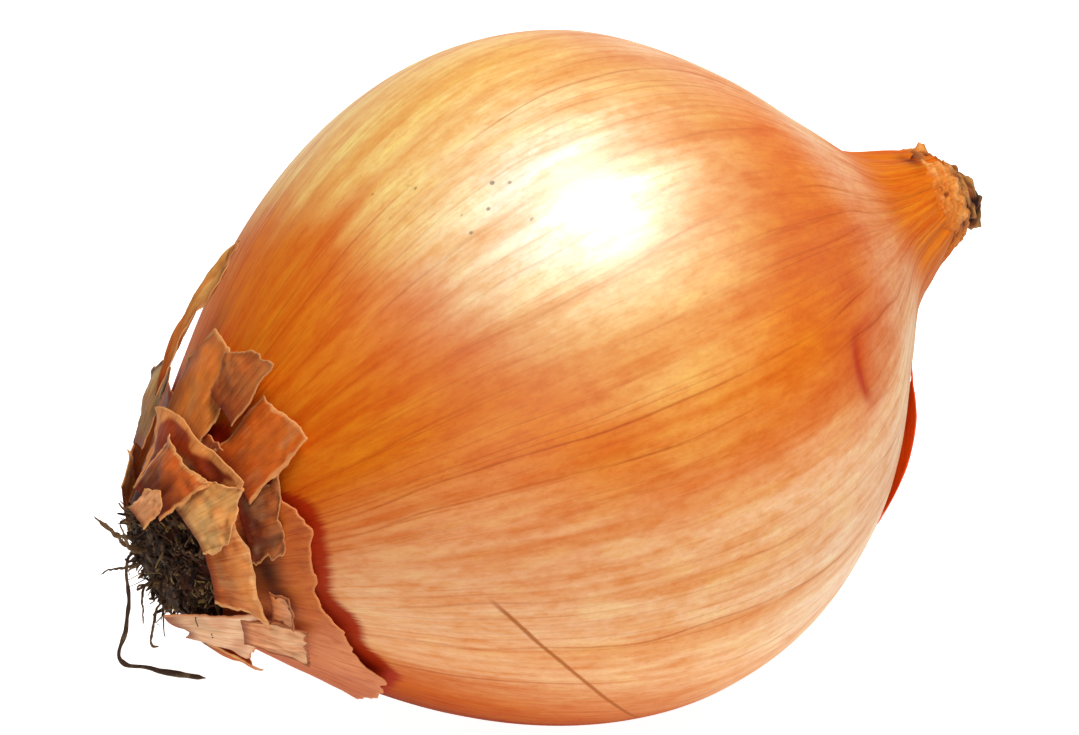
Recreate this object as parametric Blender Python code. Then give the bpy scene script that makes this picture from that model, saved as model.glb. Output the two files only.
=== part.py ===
"""A brown onion lying on its side, root plate towards -X and neck towards +X.

The bulb grew as one piece: a smooth turned body with two soft lobes, drawn out into a
dry neck that leans a little to the rear and upwards. It rests on one small flat spot,
whose centre is the origin. Round its root end sit the separate dry pieces: the root
plate, a tuft of root stubs, loose roots, a torn collar of outer skin and its flakes.
Lengths in the tables are millimetres, angles are degrees.
"""
import math

import bmesh
import bpy
import numpy as np

MM = 0.001

# Driving dimensions of the bulb.
AXIS_HEIGHT = 38.7            # axis above the flat resting spot
LOBE_DEPTH = 0.004            # how far the two lobes depart from round, as a share of the radius
NECK_LEAN_START = 32.0        # axial place where the neck starts to lean
NECK_LEAN = 1.4               # sideways shift of the axis 20 mm past that place
NECK_LEAN_TOWARDS = 135.0     # longitude the neck leans to
# Outline of the skin: axial place, radius. The root end is first.
OUTLINE = np.array([
    (-52.0, 6.5), (-47.0, 11.5), (-40.0, 18.7), (-29.0, 28.6), (-15.0, 36.7), (1.0, 39.9),
    (15.0, 36.7), (27.0, 28.1), (36.0, 18.6), (43.0, 11.2), (47.5, 8.6), (51.0, 7.2),
    (54.5, 6.1)])
RINGS = 30
SECTORS = 48
SHOULDER = (24.0, 4.0, 0.8)   # a low swelling of the skin: axial place, longitude, height
SHOULDER_SPREAD = (8.0, 24.0) # its reach along the axis and in longitude
SOCKET_RADIUS = 4.9           # socket in the neck's end, which holds the dry leaf core
SOCKET_FLOOR = 50.5
DISH_RADIUS = 5.6             # dish in the root end, which holds the root plate
DISH_FLOOR = -51.0
TOUCH_GAP = 0.3               # left between two pieces that touch

# Skin pieces.
SKIN_THICKNESS = 0.4
FLAKE_CELLS = (6, 5)
COLLAR_ROOT_EDGE = -46.0
COLLAR_ROOT_LIFT = 0.5
# Torn edge of the collar: longitude, axial place, height above the bulb. It closes on itself.
COLLAR_EDGE = np.array([
    (-180, -39.0, 1.0), (-150, -37.6, 1.2), (-120, -39.4, 1.0), (-90, -37.0, 1.2), (-62, -35.6, 1.5),
    (-40, -35.2, 1.6), (-20, -36.2, 1.4), (-4, -38.6, 1.0), (13, -41.0, 0.9), (32, -40.0, 0.9),
    (50, -41.0, 0.8), (62, -43.4, 0.6), (125, -43.4, 0.6), (150, -41.0, 0.8), (180, -39.0, 1.0)])

# Flakes: name, four corners as (axial place, longitude, height above the bulb), how far
# the middle stands up, colour. Corners run root left, root right, tip right, tip left.
FLAKES = [
    ("flake_pointed", (-45.5, 121, 1.4), (-44.6, 87, 1.4), (-38.4, 93, 1.3), (-37.3, 115, 1.3), 0.2, "tan"),
    ("flake_diamond", (-44.2, 82, 1.4), (-43.6, 56, 1.4), (-37.1, 64, 1.3), (-38.0, 80, 1.3), 0.2, "rust"),
    ("flake_dark", (-45.8, 53, 1.4), (-46.0, 37, 1.4), (-42.6, 39, 1.5), (-40.4, 54, 1.4), 0.2, "brown"),
    ("flake_grey_brown", (-42.0, 92, 2.4), (-41.3, 80, 2.4), (-35.4, 83, 2.3), (-39.0, 96, 2.3), 0.2, "brown"),
    ("flake_low", (-49.4, 46, 2.4), (-49.4, 13, 2.4), (-44.9, 14, 2.4), (-44.5, 50, 2.4), 0.3, "tan"),
    ("flake_grey", (-48.0, 150, 2.4), (-48.0, 123, 2.4), (-41.5, 123, 2.6), (-41.4, 141, 2.8), 0.3, "grey"),
    ("lip_pale", (-51.0, 8, 2.3), (-50.6, -46, 2.3), (-46.0, -44, 2.3), (-46.2, 2, 2.3), 0.3, "pale"),
    ("strip_pale", (-45.4, 5, 2.3), (-45.4, -14, 2.3), (-41.0, -18, 2.3), (-42.6, 0, 2.1), 0.2, "pale"),
    ("flake_curl", (-44.3, 17, 2.2), (-44.3, 8, 2.2), (-42.7, 8, 2.2), (-42.5, 16, 2.2), 0.2, "pale"),
    ("flake_hood", (-49.4, 104, 3.4), (-47.2, 62, 3.4), (-42.2, 60, 3.5), (-44.8, 106, 3.4), 0.3, "rust"),
    ("flake_folded", (-48.8, 65, 4.5), (-48.0, 44, 4.5), (-43.4, 46, 4.7), (-41.6, 60, 4.9), 0.4, "tan"),
    ("flake_hood_inner", (-50.2, 100, 4.5), (-49.5, 69, 4.5), (-45.4, 68, 4.5), (-46.0, 94, 4.5), 0.3, "rust"),
    ("flake_tan_small", (-51.0, 84, 5.5), (-50.6, 71, 5.5), (-48.6, 71, 5.5), (-49.2, 82, 5.5), 0.1, "tan"),
    ("strip_curled", (-43.6, 118, 4.2), (-43.6, 112, 4.2), (-32.0, 113, 4.4), (-32.6, 117, 4.4), 0.8, "grey"),
    ("flake_rear_high", (-47.6, 184, 2.4), (-47.6, 156, 2.4), (-41.0, 158, 2.2), (-40.2, 179, 2.2), 0.3, "tan"),
    ("flake_rear_mid", (-48.4, 226, 2.4), (-48.4, 190, 2.4), (-40.0, 196, 2.4), (-41.6, 222, 2.3), 0.3, "rust"),
    ("flake_rear_tan", (-49.6, 212, 3.4), (-49.6, 172, 3.4), (-45.0, 176, 3.4), (-44.0, 205, 3.5), 0.2, "tan"),
    ("flake_rear_low", (-48.2, 268, 2.4), (-48.2, 232, 2.4), (-42.0, 236, 2.4), (-40.8, 262, 2.4), 0.3, "tan"),
    ("flake_under", (-48.6, 306, 2.4), (-48.6, 274, 2.4), (-42.2, 276, 2.6), (-43.0, 300, 2.6), 0.2, "rust"),
    ("skin_flap", (22.0, -11, 0.7), (23.0, -42, 0.5), (36.5, -38, 0.5), (34.5, 1, 0.7), 1.5, "red"),
]

# Loose roots: name, radius at the plate end, radius at the tip, centres in the part's frame.
ROOTS = [
    ("root_long", 0.30, 0.45,
     [(-55.0, 0.8, 39.8), (-55.6, 0.2, 39.0), (-56.4, -1.2, 36.4), (-57.8, -2.6, 33.0),
      (-59.4, -3.8, 29.6), (-57.6, -5.8, 29.7), (-55.4, -8.2, 29.9), (-52.6, -11.0, 30.0)]),
    ("root_upper", 0.35, 0.15, [(-54.9, 3.6, 40.8), (-55.4, 4.6, 41.5), (-56.4, 5.9, 42.6)]),
    ("root_crossing", 0.35, 0.15, [(-55.0, 0.9, 41.6), (-55.8, 2.0, 43.0), (-57.0, 3.4, 44.8)]),
    ("root_hooked", 0.25, 0.22,
     [(-54.9, -4.6, 36.2), (-55.9, -5.9, 35.6), (-56.8, -7.0, 34.4), (-56.6, -7.9, 33.0),
      (-55.2, -8.2, 32.2)]),
    ("root_fringe", 0.35, 0.15, [(-55.0, -2.3, 37.4), (-55.8, -3.4, 36.0), (-56.2, -4.2, 34.4)]),
    ("root_rear", 0.35, 0.15, [(-55.0, 2.6, 36.4), (-55.9, 4.4, 35.0), (-56.4, 6.4, 32.6)]),
    ("root_top", 0.35, 0.15, [(-54.9, -0.8, 42.4), (-55.5, -0.6, 44.2), (-55.6, 0.2, 46.2)]),
]
ROOT_SIDES = 6

COLOURS = {
    "skin": (0.62, 0.22, 0.04), "tan": (0.55, 0.29, 0.12), "rust": (0.46, 0.15, 0.03),
    "brown": (0.28, 0.12, 0.06), "grey": (0.38, 0.25, 0.14), "pale": (0.75, 0.46, 0.31),
    "red": (0.55, 0.12, 0.03), "root": (0.07, 0.045, 0.03)}


def remove_startup_objects():
    for thing in list(bpy.data.objects):
        bpy.data.objects.remove(thing, do_unlink=True)


def material(name):
    """The named finish, made once and shared."""
    if name in bpy.data.materials:
        return bpy.data.materials[name]
    made = bpy.data.materials.new(name)
    made.use_nodes = True
    shader = made.node_tree.nodes["Principled BSDF"]
    shader.inputs["Base Color"].default_value = (*COLOURS[name], 1.0)
    shader.inputs["Roughness"].default_value = 0.85 if name == "root" else 0.5
    shader.inputs["Metallic"].default_value = 0.0
    return made


def hermite(x, xs, ys):
    """Smooth curve through (xs, ys): cubic Hermite, each slope a weighted mean of its two chords."""
    step = np.diff(xs)
    chord = np.diff(ys) / step
    inner = (chord[:-1] * step[1:] + chord[1:] * step[:-1]) / (step[1:] + step[:-1])
    slope = np.concatenate([chord[:1], inner, chord[-1:]])
    i = np.clip(np.searchsorted(xs, x) - 1, 0, len(step) - 1)
    t = (x - xs[i]) / step[i]
    ends = (1 + 2 * t) * (1 - t) ** 2 * ys[i] + t * t * (3 - 2 * t) * ys[i + 1]
    slopes = t * (1 - t) ** 2 * slope[i] + t * t * (t - 1) * slope[i + 1]
    return ends + slopes * step[i]


def outward(longitude):
    """Unit vectors across the axis: longitude 0 is -Y, 90 is +Z, 180 is +Y."""
    angle = np.radians(longitude)
    return np.stack([0 * angle, -np.cos(angle), np.sin(angle)], -1)


def radius_at(x, longitude):
    """Radius of the skin: the outline, times two small lobes that fade at the ends, plus the shoulder."""
    angle = np.radians(longitude)
    lobes = np.cos(2 * angle - 0.7) + 0.8 * np.cos(3 * angle + 1.1)
    fade = np.clip(1 - (x / OUTLINE[-1, 0]) ** 2, 0, 1)
    around = (longitude - SHOULDER[1] + 180.0) % 360.0 - 180.0
    spread = ((x - SHOULDER[0]) / SHOULDER_SPREAD[0]) ** 2 + (around / SHOULDER_SPREAD[1]) ** 2
    rim = hermite(x, OUTLINE[:, 0], OUTLINE[:, 1]) * (1 + LOBE_DEPTH * lobes * fade)
    return rim + SHOULDER[2] * np.exp(-spread)


def axis_point(x):
    """The bulb's axis: straight at AXIS_HEIGHT, then leaning as a parabola along the neck."""
    lean = NECK_LEAN * np.clip((x - NECK_LEAN_START) / 20.0, 0, 1.3) ** 2
    line = np.stack([x, 0 * x, 0 * x + AXIS_HEIGHT], -1)
    return line + lean[..., None] * outward(np.full_like(x, NECK_LEAN_TOWARDS))


def on_skin(x, longitude, lift):
    """Point at height lift above the bulb's skin, measured square to the skin."""
    rim = radius_at(x, longitude)
    slope = (radius_at(x + 0.1, longitude) - radius_at(x - 0.1, longitude)) / 0.2
    normal = outward(longitude) - slope[..., None] * np.array([1.0, 0.0, 0.0])
    normal /= np.linalg.norm(normal, axis=-1, keepdims=True)
    return axis_point(x) + rim[..., None] * outward(longitude) + lift[..., None] * normal


def add_object(name, vertices, faces, finish):
    """One closed piece from millimetre vertices and faces that point outwards."""
    mesh = bpy.data.meshes.new(name)
    mesh.from_pydata([tuple(MM * float(c) for c in v) for v in vertices], [], faces)
    mesh.materials.append(material(finish))
    thing = bpy.data.objects.new(name, mesh)
    bpy.context.scene.collection.objects.link(thing)
    shape = bmesh.new()
    shape.from_mesh(mesh)
    bmesh.ops.recalc_face_normals(shape, faces=shape.faces)
    shape.to_mesh(mesh)
    shape.free()
    mesh.shade_smooth()
    mesh.set_sharp_from_angle(angle=math.radians(40))
    return thing


def turned(name, stations, finish, sectors=SECTORS):
    """Closed piece through rings: stations are (axial places, radii), in order from the root end.

    Both ends are closed with one flat face.
    """
    x, rims = stations
    longitude = np.arange(sectors) * 360.0 / sectors
    grid_x = np.repeat(x[:, None], sectors, 1)
    grid_rim = rims if rims.ndim == 2 else np.repeat(rims[:, None], sectors, 1)
    grid_longitude = np.repeat(longitude[None, :], len(x), 0)
    points = axis_point(grid_x) + grid_rim[..., None] * outward(grid_longitude)
    count = len(x)
    faces = [(i * sectors + j, i * sectors + (j + 1) % sectors,
              (i + 1) * sectors + (j + 1) % sectors, (i + 1) * sectors + j)
             for i in range(count - 1) for j in range(sectors)]
    faces.append(tuple(range(sectors)))
    faces.append(tuple((count - 1) * sectors + j for j in range(sectors)))
    return add_object(name, points.reshape(-1, 3), faces, finish)


def bulb():
    """The turned body: out of the root dish, along the skin, and back into the neck's socket."""
    fine = np.linspace(OUTLINE[0, 0], OUTLINE[-1, 0], 2000)
    rim = hermite(fine, OUTLINE[:, 0], OUTLINE[:, 1])
    run = np.concatenate([[0], np.cumsum(np.hypot(np.diff(fine), np.diff(rim)))])
    skin_x = np.interp(np.linspace(0, run[-1], RINGS), run, fine)
    longitude = np.arange(SECTORS) * 360.0 / SECTORS
    skin_rim = radius_at(skin_x[:, None] + 0 * longitude[None, :], longitude[None, :] + 0 * skin_x[:, None])
    dish = np.full((2, SECTORS), DISH_RADIUS)
    socket = np.full((2, SECTORS), SOCKET_RADIUS)
    x = np.concatenate([[DISH_FLOOR, OUTLINE[0, 0]], skin_x, [OUTLINE[-1, 0], SOCKET_FLOOR]])
    body = turned("bulb", (x, np.concatenate([dish, skin_rim, socket])), "skin")
    shape = bmesh.new()
    shape.from_mesh(body.data)
    everything = shape.verts[:] + shape.edges[:] + shape.faces[:]
    cut = bmesh.ops.bisect_plane(shape, geom=everything, plane_co=(0, 0, 0), plane_no=(0, 0, 1),
                                 clear_inner=True)
    rim_edges = [e for e in cut["geom_cut"] if isinstance(e, bmesh.types.BMEdge)]
    bmesh.ops.contextual_create(shape, geom=rim_edges)
    bmesh.ops.recalc_face_normals(shape, faces=shape.faces)
    shape.to_mesh(body.data)
    shape.free()


def neck_core():
    """Dry dark leaf ends, a blunt knobbly cone held in the neck's socket."""
    x = np.array([SOCKET_FLOOR + TOUCH_GAP, 52.5, 54.9, 55.6, 56.5, 57.3, 57.9])
    rims = np.array([4.2, 4.4, 4.4, 4.9, 4.4, 3.2, 1.4])
    longitude = np.radians(np.arange(24) * 15.0)
    knobs = 1 + 0.07 * np.sin(5 * longitude[None, :] + x[:, None]) * (x[:, None] > OUTLINE[-1, 0])
    turned("neck_core", (x, rims[:, None] * knobs), "root", sectors=24)


def root_plate():
    """The hard disc that the roots grew from, a low dome set in the root end's dish."""
    x = np.array([-53.2, -52.9, -52.3, DISH_FLOOR - TOUCH_GAP])
    turned("root_plate", (x, np.array([2.5, 4.2, 5.2, 5.2])), "root", sectors=24)


def root_tuft():
    """The mat of broken root stubs on the plate, a ragged low mound without its middle lump."""
    x = np.array([-54.4, -54.2, -53.8, -53.5])
    longitude = np.radians(np.arange(32) * 11.25)
    ragged = 1 + 0.10 * np.sin(7 * longitude) + 0.06 * np.sin(12 * longitude + 1.0)
    rims = np.array([1.6, 3.8, 5.4, 5.6])[:, None] * ragged[None, :]
    turned("root_tuft", (x, rims), "root", sectors=32)


def sheet_solid(name, x, longitude, lift, closed_round, finish):
    """Thin solid over the bulb: an outer and an inner grid joined along their borders."""
    outer = on_skin(x, longitude, lift + SKIN_THICKNESS)
    inner = on_skin(x, longitude, lift)
    rows, columns = x.shape
    layer = rows * columns

    def at(row, column, level):
        return level * layer + row * columns + column % columns

    around = columns if closed_round else columns - 1
    faces = []
    for r in range(rows - 1):
        for c in range(around):
            for level in (0, 1):
                faces.append((at(r, c, level), at(r, c + 1, level), at(r + 1, c + 1, level), at(r + 1, c, level)))
    for r in (0, rows - 1):
        faces += [(at(r, c, 0), at(r, c + 1, 0), at(r, c + 1, 1), at(r, c, 1)) for c in range(around)]
    if not closed_round:
        for c in (0, columns - 1):
            faces += [(at(r, c, 0), at(r + 1, c, 0), at(r + 1, c, 1), at(r, c, 1)) for r in range(rows - 1)]
    points = np.concatenate([outer.reshape(-1, 3), inner.reshape(-1, 3)])
    return add_object(name, points, faces, finish)


def skin_collar():
    """The torn remnant of the outermost skin, a ring round the root end with a ragged edge."""
    longitude = np.arange(SECTORS) * 360.0 / SECTORS - 180.0
    edge = np.interp(longitude, COLLAR_EDGE[:, 0], COLLAR_EDGE[:, 1])
    edge += 0.35 * np.sin(np.radians(longitude) * 11) + 0.2 * np.sin(np.radians(longitude) * 17 + 1)
    edge_lift = np.interp(longitude, COLLAR_EDGE[:, 0], COLLAR_EDGE[:, 2])
    share = np.linspace(0, 1, 5)[:, None]
    x = COLLAR_ROOT_EDGE + share * (edge - COLLAR_ROOT_EDGE)[None, :]
    lift = COLLAR_ROOT_LIFT + share ** 1.5 * (edge_lift - COLLAR_ROOT_LIFT)[None, :]
    sheet_solid("skin_collar", x, longitude[None, :] + 0 * x, lift, True, "skin")


def flake(index, name, root_left, root_right, tip_right, tip_left, bulge, finish):
    """A dry flake: its corners blended bilinearly, its middle raised, its tip edge ragged."""
    u = np.linspace(0, 1, FLAKE_CELLS[0] + 1)[None, :, None]
    v = np.linspace(0, 1, FLAKE_CELLS[1] + 1)[:, None, None]
    corners = [np.array(c, float) for c in (root_left, root_right, tip_right, tip_left)]
    patch = (1 - v) * ((1 - u) * corners[0] + u * corners[1]) + v * ((1 - u) * corners[3] + u * corners[2])
    u, v = u[..., 0], v[..., 0]
    ragged = 0.25 * v * np.sin(9 * u + 2.1 * index) * (1 - np.abs(2 * u - 1) ** 4)
    lift = patch[..., 2] + bulge * np.sin(math.pi * u) * np.sin(math.pi * v)
    sheet_solid(name, patch[..., 0] + ragged, patch[..., 1], lift, False, finish)


def loose_root(name, start_radius, tip_radius, centres):
    """A dry root: a tapering six-sided tube through its centres, with pointed-off flat ends."""
    centres = np.array(centres, float)
    run = np.concatenate([[0], np.cumsum(np.linalg.norm(np.diff(centres, axis=0), axis=1))])
    count = max(9, int(run[-1] / 1.6))
    along = np.linspace(0, run[-1], count)
    line = np.stack([hermite(along, run, centres[:, k]) for k in range(3)], -1)
    tangent = np.gradient(line, axis=0)
    tangent /= np.linalg.norm(tangent, axis=1, keepdims=True)
    side = np.cross(tangent, np.array([0.35, 0.55, 0.76]))
    side /= np.linalg.norm(side, axis=1, keepdims=True)
    other = np.cross(tangent, side)
    rim = np.linspace(start_radius, tip_radius, count)[:, None, None]
    turn = (np.arange(ROOT_SIDES) * 2 * math.pi / ROOT_SIDES)[None, :, None]
    points = line[:, None] + rim * (np.cos(turn) * side[:, None] + np.sin(turn) * other[:, None])
    faces = [(i * ROOT_SIDES + j, i * ROOT_SIDES + (j + 1) % ROOT_SIDES,
              (i + 1) * ROOT_SIDES + (j + 1) % ROOT_SIDES, (i + 1) * ROOT_SIDES + j)
             for i in range(count - 1) for j in range(ROOT_SIDES)]
    faces.append(tuple(range(ROOT_SIDES)))
    faces.append(tuple((count - 1) * ROOT_SIDES + j for j in range(ROOT_SIDES)))
    add_object(name, points.reshape(-1, 3), faces, "root")


remove_startup_objects()
bulb()
neck_core()
root_plate()
root_tuft()
skin_collar()
for number, row in enumerate(FLAKES):
    flake(number, *row)
for row in ROOTS:
    loose_root(*row)
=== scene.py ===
"""A brown onion on its side: the looks of the bulb, its neck, its roots and its torn skins."""
import math
import bpy
import numpy as np
from mathutils import Matrix, Vector


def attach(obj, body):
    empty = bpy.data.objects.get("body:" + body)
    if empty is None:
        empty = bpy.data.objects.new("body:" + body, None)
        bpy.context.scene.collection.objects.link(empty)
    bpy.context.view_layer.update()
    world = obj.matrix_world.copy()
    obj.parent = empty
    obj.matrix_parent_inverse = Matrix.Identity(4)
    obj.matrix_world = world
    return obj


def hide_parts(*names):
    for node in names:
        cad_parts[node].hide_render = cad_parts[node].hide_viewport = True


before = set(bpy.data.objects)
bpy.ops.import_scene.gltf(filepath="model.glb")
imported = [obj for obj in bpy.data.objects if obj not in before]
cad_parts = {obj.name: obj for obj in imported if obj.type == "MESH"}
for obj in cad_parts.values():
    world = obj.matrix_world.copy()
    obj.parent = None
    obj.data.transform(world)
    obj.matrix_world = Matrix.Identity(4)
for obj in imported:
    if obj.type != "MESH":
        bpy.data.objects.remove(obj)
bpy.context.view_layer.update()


# ---------------------------------------------------------------------------------------------
# Camera, lamps and table. The camera looks down on the onion's front left, past its root end.
# One wide soft lamp hangs almost overhead, a weak one fills the front, and the room is white.
MM = 0.001                    # sizes are in millimetres, angles in degrees, axial places along X
AXIS_HEIGHT = 38.7
VIEW_AZIMUTH = math.radians(-32.11)
VIEW_ELEVATION = math.radians(45.19)
VIEW_DISTANCE = 378.1
VIEW_SHIFT = (-0.0212, 0.0098)
LENS, SENSOR_WIDTH = 110.0, 36.0
LAMPS = [   # name, place, target, width, depth, power in watts, colour
    ("overhead_lamp", (110, 20, 560), (0, 0, 40), 260, 220, 2.9, (1.0, 0.97, 0.92)),
    ("front_lamp", (-200, -420, 160), (0, 0, 30), 400, 300, 0.7, (1.0, 0.98, 0.95))]
BOUNCED = 0.20                # brightness of the room and the table for light that bounces
ROOM_SEEN, TABLE_SEEN = 1.0, 0.85     # and as the camera sees them
TABLE_HALF = 1600.0


def view_back():
    """Unit vector from the bulb's centre to the camera: its azimuth and elevation as a direction."""
    level = np.array([math.sin(VIEW_AZIMUTH), -math.cos(VIEW_AZIMUTH), 0.0])
    return level * math.cos(VIEW_ELEVATION) + np.array([0.0, 0.0, math.sin(VIEW_ELEVATION)])


def aim(thing, place, target):
    """Puts thing at place, in millimetres, with its -Z towards target and its Y up."""
    turn = (Vector(place) - Vector(target)).to_track_quat("Z", "Y").to_matrix().to_4x4()
    thing.matrix_world = Matrix.Translation(MM * Vector(place)) @ turn
    bpy.context.scene.collection.objects.link(thing)


def lamp(name, place, target, width, depth, power, colour):
    """Rectangular soft lamp, sizes in millimetres, power in watts."""
    light = bpy.data.lights.new(name, "AREA")
    light.shape = "RECTANGLE"
    light.size = MM * width
    light.size_y = MM * depth
    light.energy = power
    light.color = colour
    aim(bpy.data.objects.new(name, light), place, target)


def bounced_or_seen(tree, bounced, seen):
    """Output with one brightness for light that bounces and another for rays from the camera."""
    camera_ray = tree.nodes.new("ShaderNodeLightPath").outputs["Is Camera Ray"]
    brightness = tree.nodes.new("ShaderNodeMapRange")
    brightness.inputs["To Min"].default_value = bounced
    brightness.inputs["To Max"].default_value = seen
    tree.links.new(camera_ray, brightness.inputs["Value"])
    return brightness.outputs["Result"]


centre = np.array([0.0, 0.0, AXIS_HEIGHT])
camera = bpy.data.cameras.new("camera")
camera.lens = LENS
camera.sensor_width = SENSOR_WIDTH
camera.shift_x, camera.shift_y = VIEW_SHIFT
camera.clip_start = 0.01
camera_object = bpy.data.objects.new("camera", camera)
aim(camera_object, centre + VIEW_DISTANCE * view_back(), centre)
bpy.context.scene.camera = camera_object
for row in LAMPS:
    lamp(*row)

world = bpy.data.worlds.new("white_room")
world.use_nodes = True
sky = world.node_tree.nodes["Background"]
sky.inputs["Color"].default_value = (1.0, 0.99, 0.98, 1.0)
world.node_tree.links.new(bounced_or_seen(world.node_tree, BOUNCED, ROOM_SEEN), sky.inputs["Strength"])
bpy.context.scene.world = world
bpy.context.scene.view_settings.view_transform = "Standard"

table_corners = [(MM * TABLE_HALF * x, MM * TABLE_HALF * y, 0)
                 for x, y in ((-1, -1), (1, -1), (1, 1), (-1, 1))]
table_mesh = bpy.data.meshes.new("table")
table_mesh.from_pydata(table_corners, [], [(0, 1, 2, 3)])
table_finish = bpy.data.materials.new("table_white")
table_finish.use_nodes = True
table_tree = table_finish.node_tree
table_shader = table_tree.nodes["Principled BSDF"]
table_shader.inputs["Base Color"].default_value = (0.90, 0.90, 0.90, 1.0)
table_shader.inputs["Roughness"].default_value = 0.8
table_shader.inputs["Emission Strength"].default_value = 1.0
table_tree.links.new(bounced_or_seen(table_tree, BOUNCED, TABLE_SEEN), table_shader.inputs["Emission Color"])
table_mesh.materials.append(table_finish)
table = bpy.data.objects.new("table", table_mesh)
bpy.context.scene.collection.objects.link(table)


# ---------------------------------------------------------------------------------------------
# The bulb: one piece, a ball of leaf bases in a thin papery skin that is drawn out into the
# neck. The skin is golden orange on top, peach in front and below, veined from root to neck,
# with a healed scratch and a puckered dimple. Painted light is in its colour too: a painted
# highlight, near white, on top, where the paler gold is partly painted light as well; painted
# sheen round the neck's base; painted shade below, round the dimple and in a fold of the neck;
# and a deep red band along the torn collar's edge, painted shadow over skin that is redder there.
OUTLINE = np.array([
    (-52.0, 6.5), (-47.0, 11.5), (-40.0, 18.7), (-29.0, 28.6), (-15.0, 36.7), (1.0, 39.9),
    (15.0, 36.7), (27.0, 28.1), (36.0, 18.6), (43.0, 11.2), (47.5, 8.6), (51.0, 7.2), (54.5, 6.1)])
ROOT_END, NECK_END = OUTLINE[0, 0], OUTLINE[-1, 0]
LOBE_DEPTH = 0.004            # as a share of the radius
SHOULDER = (24.0, 4.0, 0.8)   # axial place, longitude, height
SHOULDER_SPREAD = (8.0, 24.0)
NECK_LEAN_START = 32.0
NECK_LEAN = 1.4
NECK_LEAN_TOWARDS = 135.0
COLLAR_EDGE = np.array([      # longitude, axial place, height above the skin
    (-180, -39.0, 1.0), (-150, -37.6, 1.2), (-120, -39.4, 0.8), (-90, -37.0, 0.6), (-62, -35.6, 0.7),
    (-40, -35.2, 1.0), (-20, -36.2, 1.2), (-4, -38.6, 1.0), (13, -41.0, 0.9), (32, -40.0, 0.9),
    (50, -41.0, 0.8), (62, -43.4, 0.6), (125, -43.4, 0.6), (150, -41.0, 0.8), (180, -39.0, 1.0)])


def paint(red, green, blue):
    """Scene-linear colour of a paint given as display values from 0 to 255: the sRGB curve."""
    value = np.array([red, green, blue]) / 255.0
    return np.where(value <= 0.04045, value / 12.92, ((value + 0.055) / 1.055) ** 2.4)


def hermite(x, xs, ys):
    """Smooth curve through (xs, ys): cubic Hermite, each slope a weighted mean of its two chords."""
    step = np.diff(xs)
    chord = np.diff(ys) / step
    inner = (chord[:-1] * step[1:] + chord[1:] * step[:-1]) / (step[1:] + step[:-1])
    slope = np.concatenate([chord[:1], inner, chord[-1:]])
    i = np.clip(np.searchsorted(xs, x) - 1, 0, len(step) - 1)
    t = (x - xs[i]) / step[i]
    ends = (1 + 2 * t) * (1 - t) ** 2 * ys[i] + t * t * (3 - 2 * t) * ys[i + 1]
    slopes = t * (1 - t) ** 2 * slope[i] + t * t * (t - 1) * slope[i + 1]
    return ends + slopes * step[i]


def smooth(low, high, value):
    """0 below low, 1 above high, and 3t^2 - 2t^3 between."""
    t = np.clip((value - low) / (high - low), 0, 1)
    return t * t * (3 - 2 * t)


def turn_from(longitude, middle):
    """Signed angle from middle to longitude, -180 to 180 degrees."""
    return (longitude - middle + 180.0) % 360.0 - 180.0


def turn_share(longitude):
    """Share of a full turn, 0 to 1, that starts and ends at longitude 90."""
    return turn_from(longitude, -90.0) / 360.0 + 0.5


def spot(x, longitude, x0, longitude0, x_spread, longitude_spread):
    """Bell-shaped mask: exp(-(dx/sx)^2 - (dlongitude/sl)^2)."""
    turned = turn_from(longitude, longitude0)
    return np.exp(-((x - x0) / x_spread) ** 2 - (turned / longitude_spread) ** 2)


def noise(u, v, cells_u, cells_v, seed, wrap=False):
    """Smooth random heights, -1 to 1: a lattice of random numbers blended with 3t^2 - 2t^3.

    u and v run over the lattice as 0 to 1; wrap makes u = 0 and u = 1 meet.
    """
    table = np.random.default_rng(seed).uniform(-1, 1, (cells_v + 3, cells_u + 3))
    a, b = u * cells_u + (0 if wrap else 1), np.clip(v * cells_v + 1, 0, cells_v + 1.999)
    a = a if wrap else np.clip(a, 0, cells_u + 1.999)
    ai, bi = np.floor(a).astype(int), np.floor(b).astype(int)
    at, bt = a - ai, b - bi
    at, bt = at * at * (3 - 2 * at), bt * bt * (3 - 2 * bt)
    left, after = (ai % cells_u, (ai + 1) % cells_u) if wrap else (ai, ai + 1)
    low = table[bi, left] * (1 - at) + table[bi, after] * at
    high = table[bi + 1, left] * (1 - at) + table[bi + 1, after] * at
    return low * (1 - bt) + high * bt


def rough(u, v, cells_u, cells_v, seed, octaves=3, wrap=False):
    """Sum of noise octaves, each with twice the cells and half the height."""
    return sum(noise(u, v, cells_u * 2 ** k, cells_v * 2 ** k, seed + k, wrap) / 2 ** k
               for k in range(octaves))


def ripples(u, v, *waves):
    """Sum of noise waves that meet round the axis, each (height, cells round, cells along, seed)."""
    return sum(height * noise(u, v, cells_u, cells_v, seed, True) for height, cells_u, cells_v, seed in waves)


def outward(longitude):
    """Unit vectors across the axis: longitude 0 is -Y, 90 is +Z, 180 is +Y."""
    angle = np.radians(longitude)
    return np.stack([0 * angle, -np.cos(angle), np.sin(angle)], -1)


def radius_at(x, longitude):
    """Radius of the skin: the outline, times 1 + two small lobes that fade at the ends, plus the shoulder."""
    angle = np.radians(longitude)
    lobes = np.cos(2 * angle - 0.7) + 0.8 * np.cos(3 * angle + 1.1)
    fade = np.clip(1 - (x / NECK_END) ** 2, 0, 1)
    shoulder = SHOULDER[2] * spot(x, longitude, *SHOULDER[:2], *SHOULDER_SPREAD)
    return hermite(x, OUTLINE[:, 0], OUTLINE[:, 1]) * (1 + LOBE_DEPTH * lobes * fade) + shoulder


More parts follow.
